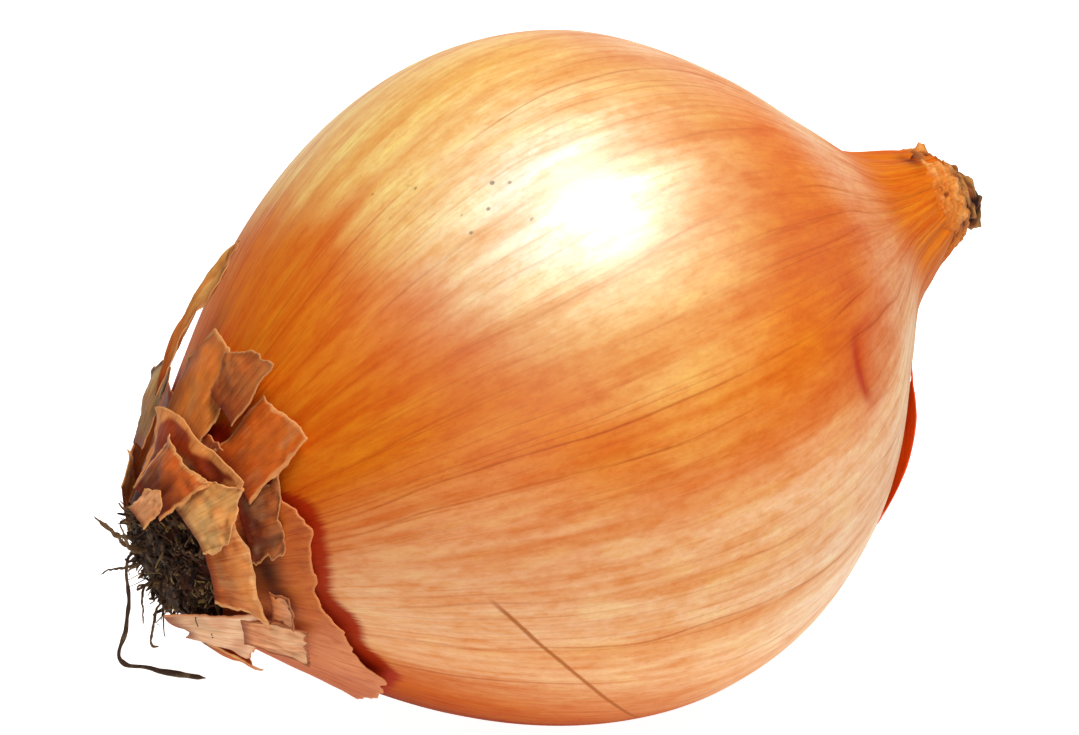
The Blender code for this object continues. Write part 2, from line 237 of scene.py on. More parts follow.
def axis_point(x):
    """The bulb's axis: straight at AXIS_HEIGHT, then leaning as a parabola along the neck."""
    lean = NECK_LEAN * np.clip((x - NECK_LEAN_START) / 20.0, 0, 1.3) ** 2
    line = np.stack([x, 0 * x, 0 * x + AXIS_HEIGHT], -1)
    return line + lean[..., None] * outward(np.full_like(x, NECK_LEAN_TOWARDS))


def skin_normal(x, longitude):
    """Unit normal of the turned outline: outward minus slope times the axis."""
    slope = (radius_at(x + 0.1, longitude) - radius_at(x - 0.1, longitude)) / 0.2
    normal = outward(longitude) - slope[..., None] * np.array([1.0, 0.0, 0.0])
    return normal / np.linalg.norm(normal, axis=-1, keepdims=True)


def on_skin(x, longitude, lift):
    """Point at height lift above the bulb's skin, measured square to the skin."""
    surface = axis_point(x) + radius_at(x, longitude)[..., None] * outward(longitude)
    return surface + lift[..., None] * skin_normal(x, longitude)


def collar_edge(longitude):
    """Axial place and height of the collar's torn edge: the table, plus small regular tears."""
    turned = turn_from(longitude, 0.0)
    angle = np.radians(turned)
    edge = np.interp(turned, COLLAR_EDGE[:, 0], COLLAR_EDGE[:, 1])
    edge += 0.35 * np.sin(angle * 11) + 0.2 * np.sin(angle * 17 + 1)
    return edge, np.interp(turned, COLLAR_EDGE[:, 0], COLLAR_EDGE[:, 2])


def grid_mesh(name, points, fields, around, wrap=False, poles=False):
    """Object from a grid of points in millimetres, rows along and columns round.

    Columns join up where wrap is set; poles closes the first and the last row with one point.
    fields maps attribute names to arrays over the grid. The UV map's u is the share of a full
    turn, around, and its v the length along the skin in decimetres; u reaches 1 at the seam.
    """
    rows, columns = points.shape[:2]
    index = np.arange(rows * columns).reshape(rows, columns)
    here = index if wrap else index[:, :-1]
    beside = np.roll(index, -1, axis=1) if wrap else index[:, 1:]
    faces = np.stack([here[:-1], here[1:], beside[1:], beside[:-1]], -1).reshape(-1, 4).tolist()
    seam = np.append(around, np.ones((rows, 1)), 1) if wrap else around
    along = np.append(fields["along"], fields["along"][:, :1], 1) if wrap else fields["along"]
    uv = np.stack([seam, along], -1)
    here_uv, beside_uv = uv[:, :-1], uv[:, 1:]
    corners = [np.stack([here_uv[:-1], here_uv[1:], beside_uv[1:], beside_uv[:-1]], 2).reshape(-1, 2)]
    flat = {key: value.reshape(rows * columns, -1) for key, value in fields.items()}
    vertices = points.reshape(-1, 3)
    if poles:
        first, last = np.full(columns, rows * columns), np.full(columns, rows * columns + 1)
        faces += np.stack([first, here[0], beside[0]], -1).tolist()
        faces += np.stack([last, beside[-1], here[-1]], -1).tolist()
        middle = (here_uv + beside_uv) / 2
        corners.append(np.stack([middle[0], here_uv[0], beside_uv[0]], 1).reshape(-1, 2))
        corners.append(np.stack([middle[-1], beside_uv[-1], here_uv[-1]], 1).reshape(-1, 2))
        vertices = np.concatenate([vertices, points[:1].mean(1), points[-1:].mean(1)])
        flat = {key: np.concatenate([value, value[:columns].mean(0, keepdims=True),
                                     value[-columns:].mean(0, keepdims=True)])
                for key, value in flat.items()}
    mesh = bpy.data.meshes.new(name)
    mesh.from_pydata((vertices * MM).tolist(), [], faces)
    corner_places = np.concatenate(corners).ravel().astype(np.float32)
    mesh.uv_layers.new(name="skin").uv.foreach_set("vector", corner_places)
    kinds = {1: ("FLOAT", "value"), 3: ("FLOAT_VECTOR", "vector"), 4: ("FLOAT_COLOR", "color")}
    for key, value in flat.items():
        kind, member = kinds[value.shape[1]]
        mesh.attributes.new(key, kind, "POINT").data.foreach_set(member, value.ravel().astype(np.float32))
    mesh.shade_smooth()
    made = bpy.data.objects.new(name, mesh)
    bpy.context.scene.collection.objects.link(made)
    return made


def colour_field(*layers):
    """Base colour over a grid: the first colour, then each (mask, colour) mixed over it; alpha is 1."""
    base = layers[0][None, None, :] + np.zeros(layers[1][0].shape + (3,))
    for mask, colour in layers[1:]:
        mask = np.clip(mask, 0, 1)[..., None]
        base = base * (1 - mask) + colour * mask
    return np.concatenate([base, np.ones(base.shape[:2] + (1,))], -1)


def ring_grid(stations, columns):
    """Stations down the rows, then longitude and share of a turn round the columns."""
    station, longitude = np.meshgrid(stations, np.arange(columns) * 360.0 / columns - 90.0, indexing="ij")
    return station, longitude, (longitude + 90.0) / 360.0


def grain_field(longitude, along):
    """Seamless place on the skin for streaks: (40 cos, 40 sin, along), 40 being the widest radius."""
    angle = np.radians(longitude)
    return np.stack([40 * np.cos(angle), 40 * np.sin(angle), along], -1)


def run_length(x):
    """Length along the outline from the root end to axial place x, and the fine table it comes from."""
    fine = np.linspace(ROOT_END, NECK_END, 2000)
    rim = hermite(fine, OUTLINE[:, 0], OUTLINE[:, 1])
    run = np.concatenate([[0], np.cumsum(np.hypot(np.diff(fine), np.diff(rim)))])
    return np.interp(x, fine, run), fine, run


# Node helpers and the shader groups that every skin shares.
def node(tree, kind, inputs=None, **settings):
    """Adds a shader node; inputs maps sockets to values or to other nodes' sockets."""
    made = tree.nodes.new("ShaderNode" + kind)
    for key, value in settings.items():
        setattr(made, key, value)
    for key, value in (inputs or {}).items():
        if isinstance(value, bpy.types.NodeSocket):
            tree.links.new(value, made.inputs[key])
        else:
            made.inputs[key].default_value = value
    return made


def maths(tree, operation, first, second=0.0, third=0.0):
    """Output of one Math node."""
    return node(tree, "Math", {0: first, 1: second, 2: third}, operation=operation).outputs[0]


def ranged(tree, value, low, high, to_low=0.0, to_high=1.0):
    """Output of a smooth Map Range node."""
    return node(tree, "MapRange", {"Value": value, "From Min": low, "From Max": high, "To Min": to_low,
                                   "To Max": to_high}, interpolation_type="SMOOTHSTEP").outputs["Result"]


def mixed(tree, factor, first, second, blend="MIX"):
    """Output of a colour Mix node."""
    return node(tree, "Mix", {0: factor, 6: first, 7: second}, data_type="RGBA", blend_type=blend).outputs[2]


def multiplied(tree, base, tint):
    """Base colour times a tint given as three numbers."""
    return mixed(tree, 1.0, base, (*tint, 1.0), "MULTIPLY")


def tinted(tree, base, value, low, high, strength, tint):
    """Base multiplied by tint where value is near high; low may lie above high."""
    ends = (low, high, 0.0, strength) if low < high else (high, low, strength, 0.0)
    return mixed(tree, ranged(tree, value, *ends), base, multiplied(tree, base, tint))


def weighted(tree, *terms):
    """Output of Math nodes that sum value times weight over the (value, weight) terms."""
    total = 0.0
    for value, weight in terms:
        total = maths(tree, "MULTIPLY_ADD", value, weight, total)
    return total


def attribute(tree, name, output="Fac"):
    """Output of the mesh attribute of that name."""
    return node(tree, "Attribute", attribute_name=name).outputs[output]


def new_group(name, inputs, outputs):
    """Empty shader group with its sockets: inputs and outputs map names to socket kinds."""
    group = bpy.data.node_groups.new(name, "ShaderNodeTree")
    for key, kind in inputs.items():
        group.interface.new_socket(key, in_out="INPUT", socket_type="NodeSocket" + kind)
    for key, kind in outputs.items():
        group.interface.new_socket(key, in_out="OUTPUT", socket_type="NodeSocket" + kind)
    return group, group.nodes.new("NodeGroupInput"), group.nodes.new("NodeGroupOutput")


def use_group(tree, group, inputs):
    """Places a shader group and fills its sockets."""
    return node(tree, "Group", inputs, node_tree=group).outputs


def streak_group():
    """Random streaks along the skin: noise on Grain divided by (Across, Across, Length)."""
    group, enter, leave = new_group(
        "skin_streaks", {"Grain": "Vector", "Across": "Float", "Length": "Float"}, {"Value": "Float"})
    inside = enter.outputs
    across = inside["Across"]
    scale = node(group, "CombineXYZ", {0: across, 1: across, 2: inside["Length"]}).outputs[0]
    place = node(group, "VectorMath", {0: inside["Grain"], 1: scale}, operation="DIVIDE").outputs[0]
    value = node(group, "TexNoise", {"Vector": place, "Scale": 1.0, "Detail": 3.0, "Roughness": 0.6})
    group.links.new(value.outputs["Fac"], leave.inputs["Value"])
    return group


def vein_group():
    """Thin lines from root to neck: borders of random cells round the bulb, Width in millimetres.

    Around counts cells; Girth is one cell's width in millimetres, so that lines keep their width.
    """
    group, enter, leave = new_group(
        "skin_veins", {"Around": "Float", "Girth": "Float", "Grain": "Vector", "Count": "Float",
                       "Width": "Float", "Wander": "Float", "Seed": "Float"}, {"Mask": "Float"})
    inside = enter.outputs

    def stretched_noise(stretch):
        """Noise on Grain multiplied by stretch."""
        place = node(group, "VectorMath", {0: inside["Grain"], 1: stretch}, operation="MULTIPLY").outputs[0]
        return node(group, "TexNoise", {"Vector": place, "Scale": 1.0, "Detail": 2.0}).outputs["Fac"]

    bend = stretched_noise((0.035, 0.035, 0.028))
    wander = maths(group, "MULTIPLY", maths(group, "SUBTRACT", bend, 0.5), inside["Wander"])
    cell = maths(group, "MULTIPLY_ADD", inside["Around"], inside["Count"], wander)
    cell = maths(group, "ADD", cell, inside["Seed"])
    borders = node(group, "TexVoronoi", {"W": cell, "Scale": 1.0, "Randomness": 1.0}, voronoi_dimensions="1D",
                   feature="DISTANCE_TO_EDGE").outputs["Distance"]
    gap = maths(group, "MULTIPLY", borders, maths(group, "DIVIDE", inside["Girth"], inside["Count"]))
    line = ranged(group, gap, maths(group, "MULTIPLY", inside["Width"], 0.2), inside["Width"], 1.0, 0.0)
    own = node(group, "TexNoise", {"W": maths(group, "MULTIPLY", cell, 0.9), "Scale": 1.0, "Detail": 1.0},
               noise_dimensions="1D").outputs["Fac"]
    fade = stretched_noise((0.12, 0.12, 0.05))
    strength = maths(group, "MULTIPLY", ranged(group, own, 0.35, 0.65), ranged(group, fade, 0.3, 0.65))
    group.links.new(maths(group, "MULTIPLY", line, strength), leave.inputs["Mask"])
    return group


def speck_group():
    """Small dark pits: Voronoi points on Grain divided by Spacing, shown where Where is near 1."""
    group, enter, leave = new_group(
        "skin_specks", {"Grain": "Vector", "Spacing": "Float", "Size": "Float", "Where": "Float"},
        {"Mask": "Float"})
    inside = enter.outputs
    per_cell = maths(group, "DIVIDE", 1.0, inside["Spacing"])
    place = node(group, "VectorMath", {0: inside["Grain"], 3: per_cell}, operation="SCALE").outputs[0]
    points = node(group, "TexVoronoi", {"Vector": place, "Scale": 1.0, "Randomness": 1.0})
    chance = node(group, "SeparateColor", {0: points.outputs["Color"]}).outputs[0]
    chosen = ranged(group, maths(group, "ADD", chance, inside["Where"]), 0.98, 1.0)
    core = maths(group, "MULTIPLY", inside["Size"], 0.45)
    dot = ranged(group, points.outputs["Distance"], core, inside["Size"], 1.0, 0.0)
    group.links.new(maths(group, "MULTIPLY", dot, chosen), leave.inputs["Mask"])
    return group


STREAKS = streak_group()
VEINS = vein_group()
SPECKS = speck_group()


def streaks(tree, grain, across, length):
    """Streak value for features of that width and length in millimetres."""
    return use_group(tree, STREAKS, {"Grain": grain, "Across": across, "Length": length})["Value"]


def veins(tree, grain, around, girth, count, width, wander, seed):
    """Vein mask: count cells round the bulb, lines of that width in millimetres."""
    return use_group(tree, VEINS, {"Grain": grain, "Around": around, "Girth": girth, "Count": count,
                                   "Width": width, "Wander": wander, "Seed": seed})["Mask"]


def share_round(tree):
    """The skin's UV u: the share of a full turn."""
    return node(tree, "SeparateXYZ", {0: node(tree, "UVMap", uv_map="skin").outputs[0]}).outputs[0]


def new_finish(name, roughness, **constants):
    """Material with a Principled shader whose constant sockets are set directly."""
    finish = bpy.data.materials.new(name)
    finish.use_nodes = True
    shader = finish.node_tree.nodes["Principled BSDF"]
    shader.inputs["Roughness"].default_value = roughness
    for key, value in constants.items():
        shader.inputs[key.replace("_", " ")].default_value = value
    return finish, finish.node_tree, shader


def join(tree, shader, base, height, strength, distance):
    """Joins a base colour and a bump, whose full height is distance in millimetres, to the shader."""
    tree.links.new(base, shader.inputs["Base Color"])
    bump = node(tree, "Bump", {"Height": height, "Strength": strength, "Distance": MM * distance})
    tree.links.new(bump.outputs[0], shader.inputs["Normal"])


BULB_TINTS = (   # streak name, value without the tint, value with all of it, strength, tint
    ("broad", 0.46, 0.62, 0.7, (0.92, 0.68, 0.40)), ("broad", 0.54, 0.34, 0.4, (1.04, 1.14, 1.2)),
    ("middle", 0.5, 0.66, 0.5, (0.90, 0.68, 0.46)), ("middle", 0.5, 0.34, 0.4, (1.04, 1.16, 1.3)),
    ("patches", 0.5, 0.64, 0.6, (0.94, 0.76, 0.50)), ("patches", 0.5, 0.36, 0.7, (1.04, 1.2, 1.15)),
    ("mottle", 0.5, 0.66, 0.5, (0.93, 0.76, 0.52)), ("mottle", 0.5, 0.34, 0.5, (1.04, 1.16, 1.2)),
    ("speckle", 0.52, 0.7, 0.45, (0.94, 0.78, 0.60)), ("speckle", 0.48, 0.3, 0.4, (1.05, 1.15, 1.25)),
    ("fine", 0.5, 0.68, 0.3, (0.90, 0.74, 0.56)))
VEIN_TINT = (0.62, 0.34, 0.18)
# Painted shadow of the torn collar on the bulb: deep red along its edge, over skin that is redder there of
# its own, and nearly black in the gap under it.
COLLAR_SHADE_RED, COLLAR_GAP_SHADE = (0.42, 0.022, 0.002, 1.0), (0.045, 0.016, 0.008, 1.0)
SCRATCH_BROWN, SPECK_BROWN = (0.46, 0.11, 0.012, 1.0), (0.10, 0.07, 0.03, 1.0)


def bulb_finish():
    """Satin papery skin: the ground colour, streaked and mottled, with two sizes of brown veins."""
    finish, tree, shader = new_finish("bulb_skin", 0.50, Coat_Roughness=0.38, Coat_IOR=2.0,
                                      Specular_IOR_Level=0.06)
    tree.links.new(attribute(tree, "gloss"), shader.inputs["Coat Weight"])
    grain = attribute(tree, "grain", "Vector")
    girth = attribute(tree, "girth")
    around = share_round(tree)
    streak = {name: streaks(tree, grain, across, length) for name, across, length in (
        ("broad", 5.0, 55.0), ("middle", 1.5, 20.0), ("fine", 0.35, 4.0), ("patches", 3.2, 6.5),
        ("mottle", 1.0, 1.9), ("speckle", 0.4, 0.6))}
    middle, fine = streak["middle"], streak["fine"]
    major = veins(tree, grain, around, girth, count=58.0, width=0.24, wander=2.2, seed=3.0)
    minor = veins(tree, grain, around, girth, count=190.0, width=0.15, wander=3.0, seed=40.0)
    base = attribute(tree, "ground", "Color")
    for name, low, high, strength, tint in BULB_TINTS:
        base = tinted(tree, base, streak[name], low, high, strength, tint)
    vein_colour = multiplied(tree, base, VEIN_TINT)
    fading = ranged(tree, girth, 60.0, 210.0, 0.15, 0.6)
    base = mixed(tree, maths(tree, "MULTIPLY", major, fading), base, vein_colour)
    base = mixed(tree, maths(tree, "MULTIPLY", minor, 0.3), base, vein_colour)
    # Painted shadow of the collar's torn edge: deep red near the edge, nearly black further under the collar.
    reach = maths(tree, "MULTIPLY_ADD", fine, 1.2, maths(tree, "MULTIPLY_ADD", streak["broad"], 1.2, -1.0))
    beyond = maths(tree, "SUBTRACT", attribute(tree, "beyond_collar_edge"), reach)
    base = mixed(tree, ranged(tree, beyond, 0.2, 1.2, 0.95, 0.0), base, COLLAR_SHADE_RED)
    base = mixed(tree, ranged(tree, beyond, -5.0, -1.5, 0.95, 0.0), base, COLLAR_GAP_SHADE)
    off_scratch = maths(tree, "ABSOLUTE", attribute(tree, "scratched"))
    scratch = ranged(tree, maths(tree, "MULTIPLY_ADD", fine, 0.2, off_scratch), 0.17, 0.42, 1.0, 0.0)
    scratch = maths(tree, "MULTIPLY", scratch, attribute(tree, "scratch_here"))
    base = mixed(tree, maths(tree, "MULTIPLY", scratch, 0.85), base, SCRATCH_BROWN)
    specks = use_group(tree, SPECKS, {"Grain": grain, "Spacing": 1.3, "Size": 0.29,
                                      "Where": attribute(tree, "specked")})["Mask"]
    base = mixed(tree, maths(tree, "MULTIPLY", specks, 0.75), base, SPECK_BROWN)
    satin = weighted(tree, (ranged(tree, middle, 0.3, 0.7, 0.42, 0.52), 1.0), (fine, 0.10), (major, 0.15))
    tree.links.new(satin, shader.inputs["Roughness"])
    relief = weighted(tree, (middle, 0.7), (fine, 0.35), (streak["mottle"], 0.5), (major, -0.3),
                      (minor, -0.15), (scratch, -0.6))
    join(tree, shader, base, relief, strength=0.5, distance=0.22)
    return finish


SKIN_ROWS = 204
SKIN_COLUMNS = 440
WALL_ROWS = 8
NECK_WALL_END = 49.5
NECK_MOUTH = 4.6
NECK_TRIM = 1.6               # how far the neck's torn rim lies behind the outline's end on average
SCRATCH = np.array([(12.7, -27.3), (0.3, -23.3), (-17.0, -16.7), (-34.0, -10.0)])  # longitude, axial place
DIMPLE = (21.5, 28.5)         # axial place and longitude
DISH = np.array([(-51.6, 0.8), (-51.7, 2.4), (-51.8, 4.0), (-52.0, 5.4)])   # axial place, radius
SPECK_PATCHES = ((0.75, -17.5, 94, 3.5, 4), (0.6, -12, 81, 3, 4))   # density, then as in spot


def skin_relief(x, longitude, share):
    """Height of the skin's folds: ribs, root puckers, neck pleats and the dimple; and the dimple's crease."""
    u = turn_share(longitude)
    ribs = ripples(u, share, (0.07, 22, 3, 11), (0.03, 70, 4, 12), (0.015, 190, 5, 13))
    pleats = smooth(30, 47, x) * ripples(u, share, (0.28, 22, 3, 21), (0.20, 48, 5, 22))
    pleats += smooth(38, 50, x) * ripples(u, share, (0.12, 90, 14, 23))
    pleats += 0.5 * spot(x, longitude, 49, 132, 5, 22)
    puckers = smooth(-36, -50, x) * ripples(u, share, (0.35, 24, 4, 31))
    above = longitude - DIMPLE[1]
    reach = np.hypot((x - DIMPLE[0]) / 2.6, turn_from(longitude, DIMPLE[1]) / 8.5)
    crease = np.exp(-((reach - 1) / 0.26) ** 2) * smooth(1.0, -0.6, x - DIMPLE[0])
    crease *= smooth(-9, -3, above) * smooth(10, 3, above)
    dimple = 0.15 * np.exp(-reach ** 2) - 0.1 * crease - 0.3 * spot(x, longitude, 22, 22, 6, 18)
    return ribs + pleats + puckers + dimple, crease


def marks(x, longitude):
    """Distance across the scratch, where the scratch runs, and distance beyond the collar's torn edge."""
    front = turn_from(longitude, 0.0)
    off = x - np.interp(-front, -SCRATCH[:, 0], SCRATCH[:, 1])
    return 0.8 * off, smooth(14, 9, front) * smooth(-46, -38, front), x - collar_edge(longitude)[0]


def bulb_ground(x, longitude, crease):
    """Colour before the veins: orange, pale gold over the top, peach in front and below, and painted light
    and shade.
    """
    share = (x - ROOT_END) / (NECK_END - ROOT_END)
    drift = ripples(turn_share(longitude), share, (6.0, 30, 2, 41), (3.0, 90, 3, 42))
    high = turn_from(longitude + drift, 60.0)
    front = turn_from(longitude + 0.5 * drift, 0.0)
    # Pale gold over the top: partly the skin's own paler gold, partly painted light of the overhead lamp.
    gold_from = -16 + np.where(x < -4, 0.095, 0.06) * (x + 4) ** 2
    gold = smooth(-18, 18, high - gold_from) * smooth(150, 95, high)
    gold *= smooth(-29.5, -19, x + 0.5 * drift) * (1 - 0.75 * smooth(-4, 22, x))
    # Painted highlight: a near white patch where the overhead lamp's highlight sits.
    painted_highlight = spot(x, longitude + 0.7 * drift, -6, 75, 12, 15)
    low = smooth(-50, -5, front + np.maximum(1.2 * (x + 8), 0.4 * (x + 8)))
    peach = smooth(40 + 12 * smooth(-12, -26, x), 7, front) * low
    # Deeper orange on the lower side, dark brown lowest down: painted shade.
    under = smooth(2, -14, front) * (1 - low) * smooth(-120, -60, front)
    belly = smooth(-70, -95, front) * smooth(-175, -140, front)
    # Pale bands round the neck's base and low at the right: painted sheen of the lamp.
    waist_sheen = np.clip(spot(x, longitude, 33, 98, 6, 32) + spot(x, longitude, 22, 112, 10, 17)
                    + spot(x, longitude, 35, 10, 8, 30) + 0.7 * spot(x, longitude, 23, 0, 6, 13), 0, 1)
    # Deeper orange for a few millimetres past the collar's torn edge: the fading end of its painted shadow.
    beyond = np.clip(x - collar_edge(longitude)[0], 0, 99)
    return colour_field(
        paint(223, 118, 20), (0.85 * gold, paint(247, 204, 120)), (0.9 * painted_highlight, paint(250, 241, 226)),
        (peach, paint(250, 190, 138)),
        (0.35 * peach * spot(x, longitude, -28, 25, 14, 30), paint(236, 146, 104)),
        (0.6 * peach * spot(x, longitude, 12, -8, 10, 24), paint(252, 216, 182)),
        (under, paint(206, 92, 6)), (0.9 * under * smooth(-24, -50, front), paint(130, 34, 2)),
        (0.7 * belly, paint(232, 160, 110)),
        # Deep orange round the dimple: painted shade of its dent.
        (0.7 * spot(x, longitude, 20.5, 33, 5, 13), paint(212, 88, 4)),
        (0.5 * spot(x, longitude, 24, 48, 9, 22), paint(212, 98, 4)),
        (0.8 * waist_sheen, paint(242, 204, 170)), (smooth(36, 45, x), paint(222, 118, 22)),
        # Dark red at a fold on the neck's top: painted shade in the fold.
        (0.9 * spot(x, longitude, 50.4, 98, 1.5, 12), paint(112, 26, 8)),
        (0.7 * np.exp(-beyond / 5.0) * (1 - peach) * (1 - under), paint(208, 88, 4)),
        # Dark red crease of the dimple: painted shade in the crease.
        (0.95 * crease, paint(190, 52, 0)),
        (0.6 * spot(x, longitude, 23.5, 27, 2.0, 6), paint(234, 160, 108)))


def skin_gloss(x, longitude):
    """Gloss of the skin: shiny over the taut top and the near right, dull at the ends and below."""
    high = turn_from(longitude, 90.0)
    top = smooth(-56, -30, high) * smooth(150, 90, high) * smooth(-34, -16, x) * smooth(26, 10, x)
    rear = 0.25 * smooth(10, 35, high) * smooth(150, 90, high) * smooth(-34, -20, x) * smooth(38, 28, x)
    right_side = 0.45 * spot(x, longitude, 16, -12, 12, 24) * smooth(26, 10, longitude)
    top *= 1 - 0.5 * smooth(0, 25, high) * smooth(80, 50, high)
    return np.clip(0.02 + np.maximum(np.maximum(top, rear), right_side), 0, 1)


def neck_rim(longitude):
    """How far the torn end of the neck skin runs past or short of its mean, longest at the rear top."""
    u = turn_share(longitude)
    tears = ripples(u, 0 * u, (0.9, 17, 1, 51), (0.5, 43, 1, 52))
    return tears + 0.9 * np.exp(-(turn_from(longitude, 128.0) / 12.0) ** 4)


def make_bulb():
    """The turned body on one closed grid: root dish, skin, torn neck rim, and back down inside the neck."""
    whole, fine, run = run_length(NECK_END)
    skin_x = np.interp(np.linspace(0, float(whole), SKIN_ROWS), run, fine)
    x, turned, _ = ring_grid(skin_x, SKIN_COLUMNS)
    longitude = turned[:1]
    relief, crease = skin_relief(x, turned, (x - ROOT_END) / (NECK_END - ROOT_END))
    stretched = x + smooth(NECK_END - 7, NECK_END, x) * (neck_rim(turned) - NECK_TRIM)
    skin = axis_point(stretched) + radius_at(x, turned)[..., None] * outward(turned)
    skin += relief[..., None] * skin_normal(x, turned)
    skin[..., 2] = np.maximum(skin[..., 2], 0.0)
    step = np.linspace(0, 1, WALL_ROWS + 1)[1:, None, None]
    mouth = axis_point(0 * longitude + NECK_WALL_END) + NECK_MOUTH * outward(longitude)
    inner = skin[-1:] * (1 - step) + mouth * step - 0.5 * np.minimum(step * 4, 1) * outward(longitude)
    dish = axis_point(DISH[:, :1] + 0 * longitude) + DISH[:, 1, None, None] * outward(longitude)
    ground = bulb_ground(x, turned, crease)
    ground = np.concatenate([np.repeat(ground[:1], len(dish), 0), ground,
                             np.repeat(ground[-1:], len(inner), 0)])
    wall_x = np.linspace(NECK_END, NECK_WALL_END, WALL_ROWS + 1)[1:]
    places = np.concatenate([np.full(len(dish), ROOT_END), skin_x, wall_x])
    x, turned, around = ring_grid(places, SKIN_COLUMNS)
    along = run_length(x)[0]
    scratched, scratch_here, beyond_collar_edge = marks(x, turned)
    specked = sum(density * spot(x, turned, *patch) for density, *patch in SPECK_PATCHES) - 0.02
    fields = {"along": along / 100.0, "grain": grain_field(turned, along), "ground": ground,
              "girth": 2 * math.pi * hermite(x, OUTLINE[:, 0], OUTLINE[:, 1]), "gloss": skin_gloss(x, turned),
              "specked": specked, "scratched": scratched, "scratch_here": scratch_here, "beyond_collar_edge": beyond_collar_edge}
    bulb = grid_mesh("bulb_skin", np.concatenate([dish, skin, inner]), fields, around, wrap=True, poles=True)
    bulb.data.materials.append(bulb_finish())
    return bulb


bulb = make_bulb()
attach(bulb, "root")
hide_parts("bulb")


# ---------------------------------------------------------------------------------------------
# The neck's end: dry leaf sheaths, one inside the other, torn off short and crumpled, round a
# knobbly dark core where the leaves died back. Each sheath is thin, tan outside, brown at its lip.
# name, foot radius, lip radius, foot, lip, folds, height of its tab, foot colour, lip colour, seed
SHEATHS = [
    ("neck_sheath_outer", 7.3, 5.8, 49.4, 54.7, 22, 0.9, paint(218, 112, 18), paint(234, 152, 66), 61),
    ("neck_sheath_middle", 5.5, 5.0, 51.4, 55.3, 13, 0.0, paint(196, 112, 44), paint(206, 142, 76), 64),
    ("neck_sheath_inner", 4.6, 4.0, 52.0, 55.9, 9, 0.0, paint(96, 46, 20), paint(150, 92, 44), 67)]
KNOB_FOOT, KNOB_LENGTH, KNOB_RADIUS, KNOB_DROOP = 51.5, 7.4, 4.4, 2.6
KNOB_DROOP_TOWARDS = -35.0


DRY_TINTS = (   # streak name, value without the tint, value with all of it, strength, tint
    ("blotch", 0.5, 0.7, 0.7, (0.80, 0.58, 0.42)), ("blotch", 0.5, 0.32, 0.7, (1.10, 1.22, 1.3)),
    ("middle", 0.5, 0.68, 0.5, (0.82, 0.62, 0.45)), ("middle", 0.5, 0.34, 0.5, (1.08, 1.2, 1.35)),
    ("fine", 0.5, 0.7, 0.4, (0.80, 0.64, 0.50)))
DRY_VEIN_TINT = (0.62, 0.42, 0.30)


def dry_finish(name, roughness, vein_count, vein_strength, edge_colour, bump_height):
    """Dry brittle skin: its ground colour, streaked, blotched and veined, with tinted torn edges."""
    finish, tree, shader = new_finish(name, roughness, Specular_IOR_Level=0.22)
    grain = attribute(tree, "grain", "Vector")
    streak = {key: streaks(tree, grain, across, length) for key, across, length in (
        ("middle", 0.9, 10.0), ("fine", 0.25, 3.0), ("blotch", 1.8, 2.6))}
    lines = veins(tree, grain, share_round(tree), attribute(tree, "girth"), count=vein_count,
                  width=0.14, wander=2.0, seed=7.0)
    base = attribute(tree, "ground", "Color")
    for key, low, high, strength, tint in DRY_TINTS:
        base = tinted(tree, base, streak[key], low, high, strength, tint)
    base = tinted(tree, base, lines, 0.0, 1.0, vein_strength, DRY_VEIN_TINT)
    from_edge = maths(tree, "MULTIPLY_ADD", streak["fine"], 0.4, attribute(tree, "edge"))
    base = mixed(tree, ranged(tree, from_edge, 0.15, 0.55, 0.75, 0.0), base, (*edge_colour, 1.0))
    relief = weighted(tree, (streak["middle"], 0.8), (streak["fine"], 0.35), (streak["blotch"], 0.8))
    join(tree, shader, base, relief, strength=0.7, distance=bump_height)
    return finish


def thin(piece, thickness):
    """Gives a single surface its thickness in millimetres, inwards from the outer face."""
    wall = piece.modifiers.new("wall", "SOLIDIFY")
    wall.thickness = MM * thickness
    wall.offset = -1.0
    wall.use_even_offset = False
    return piece


def skin_fields(x, longitude, ground, edge):
    """Attributes of a skin on the bulb: its place there, its colour and the distance from its edge."""
    inside = np.clip(x, ROOT_END, NECK_END)
    along = run_length(inside)[0] + x - inside
    return {"along": along / 100.0, "grain": grain_field(longitude, along), "ground": ground, "edge": edge,
            "girth": 2 * math.pi * hermite(inside, OUTLINE[:, 0], OUTLINE[:, 1])}


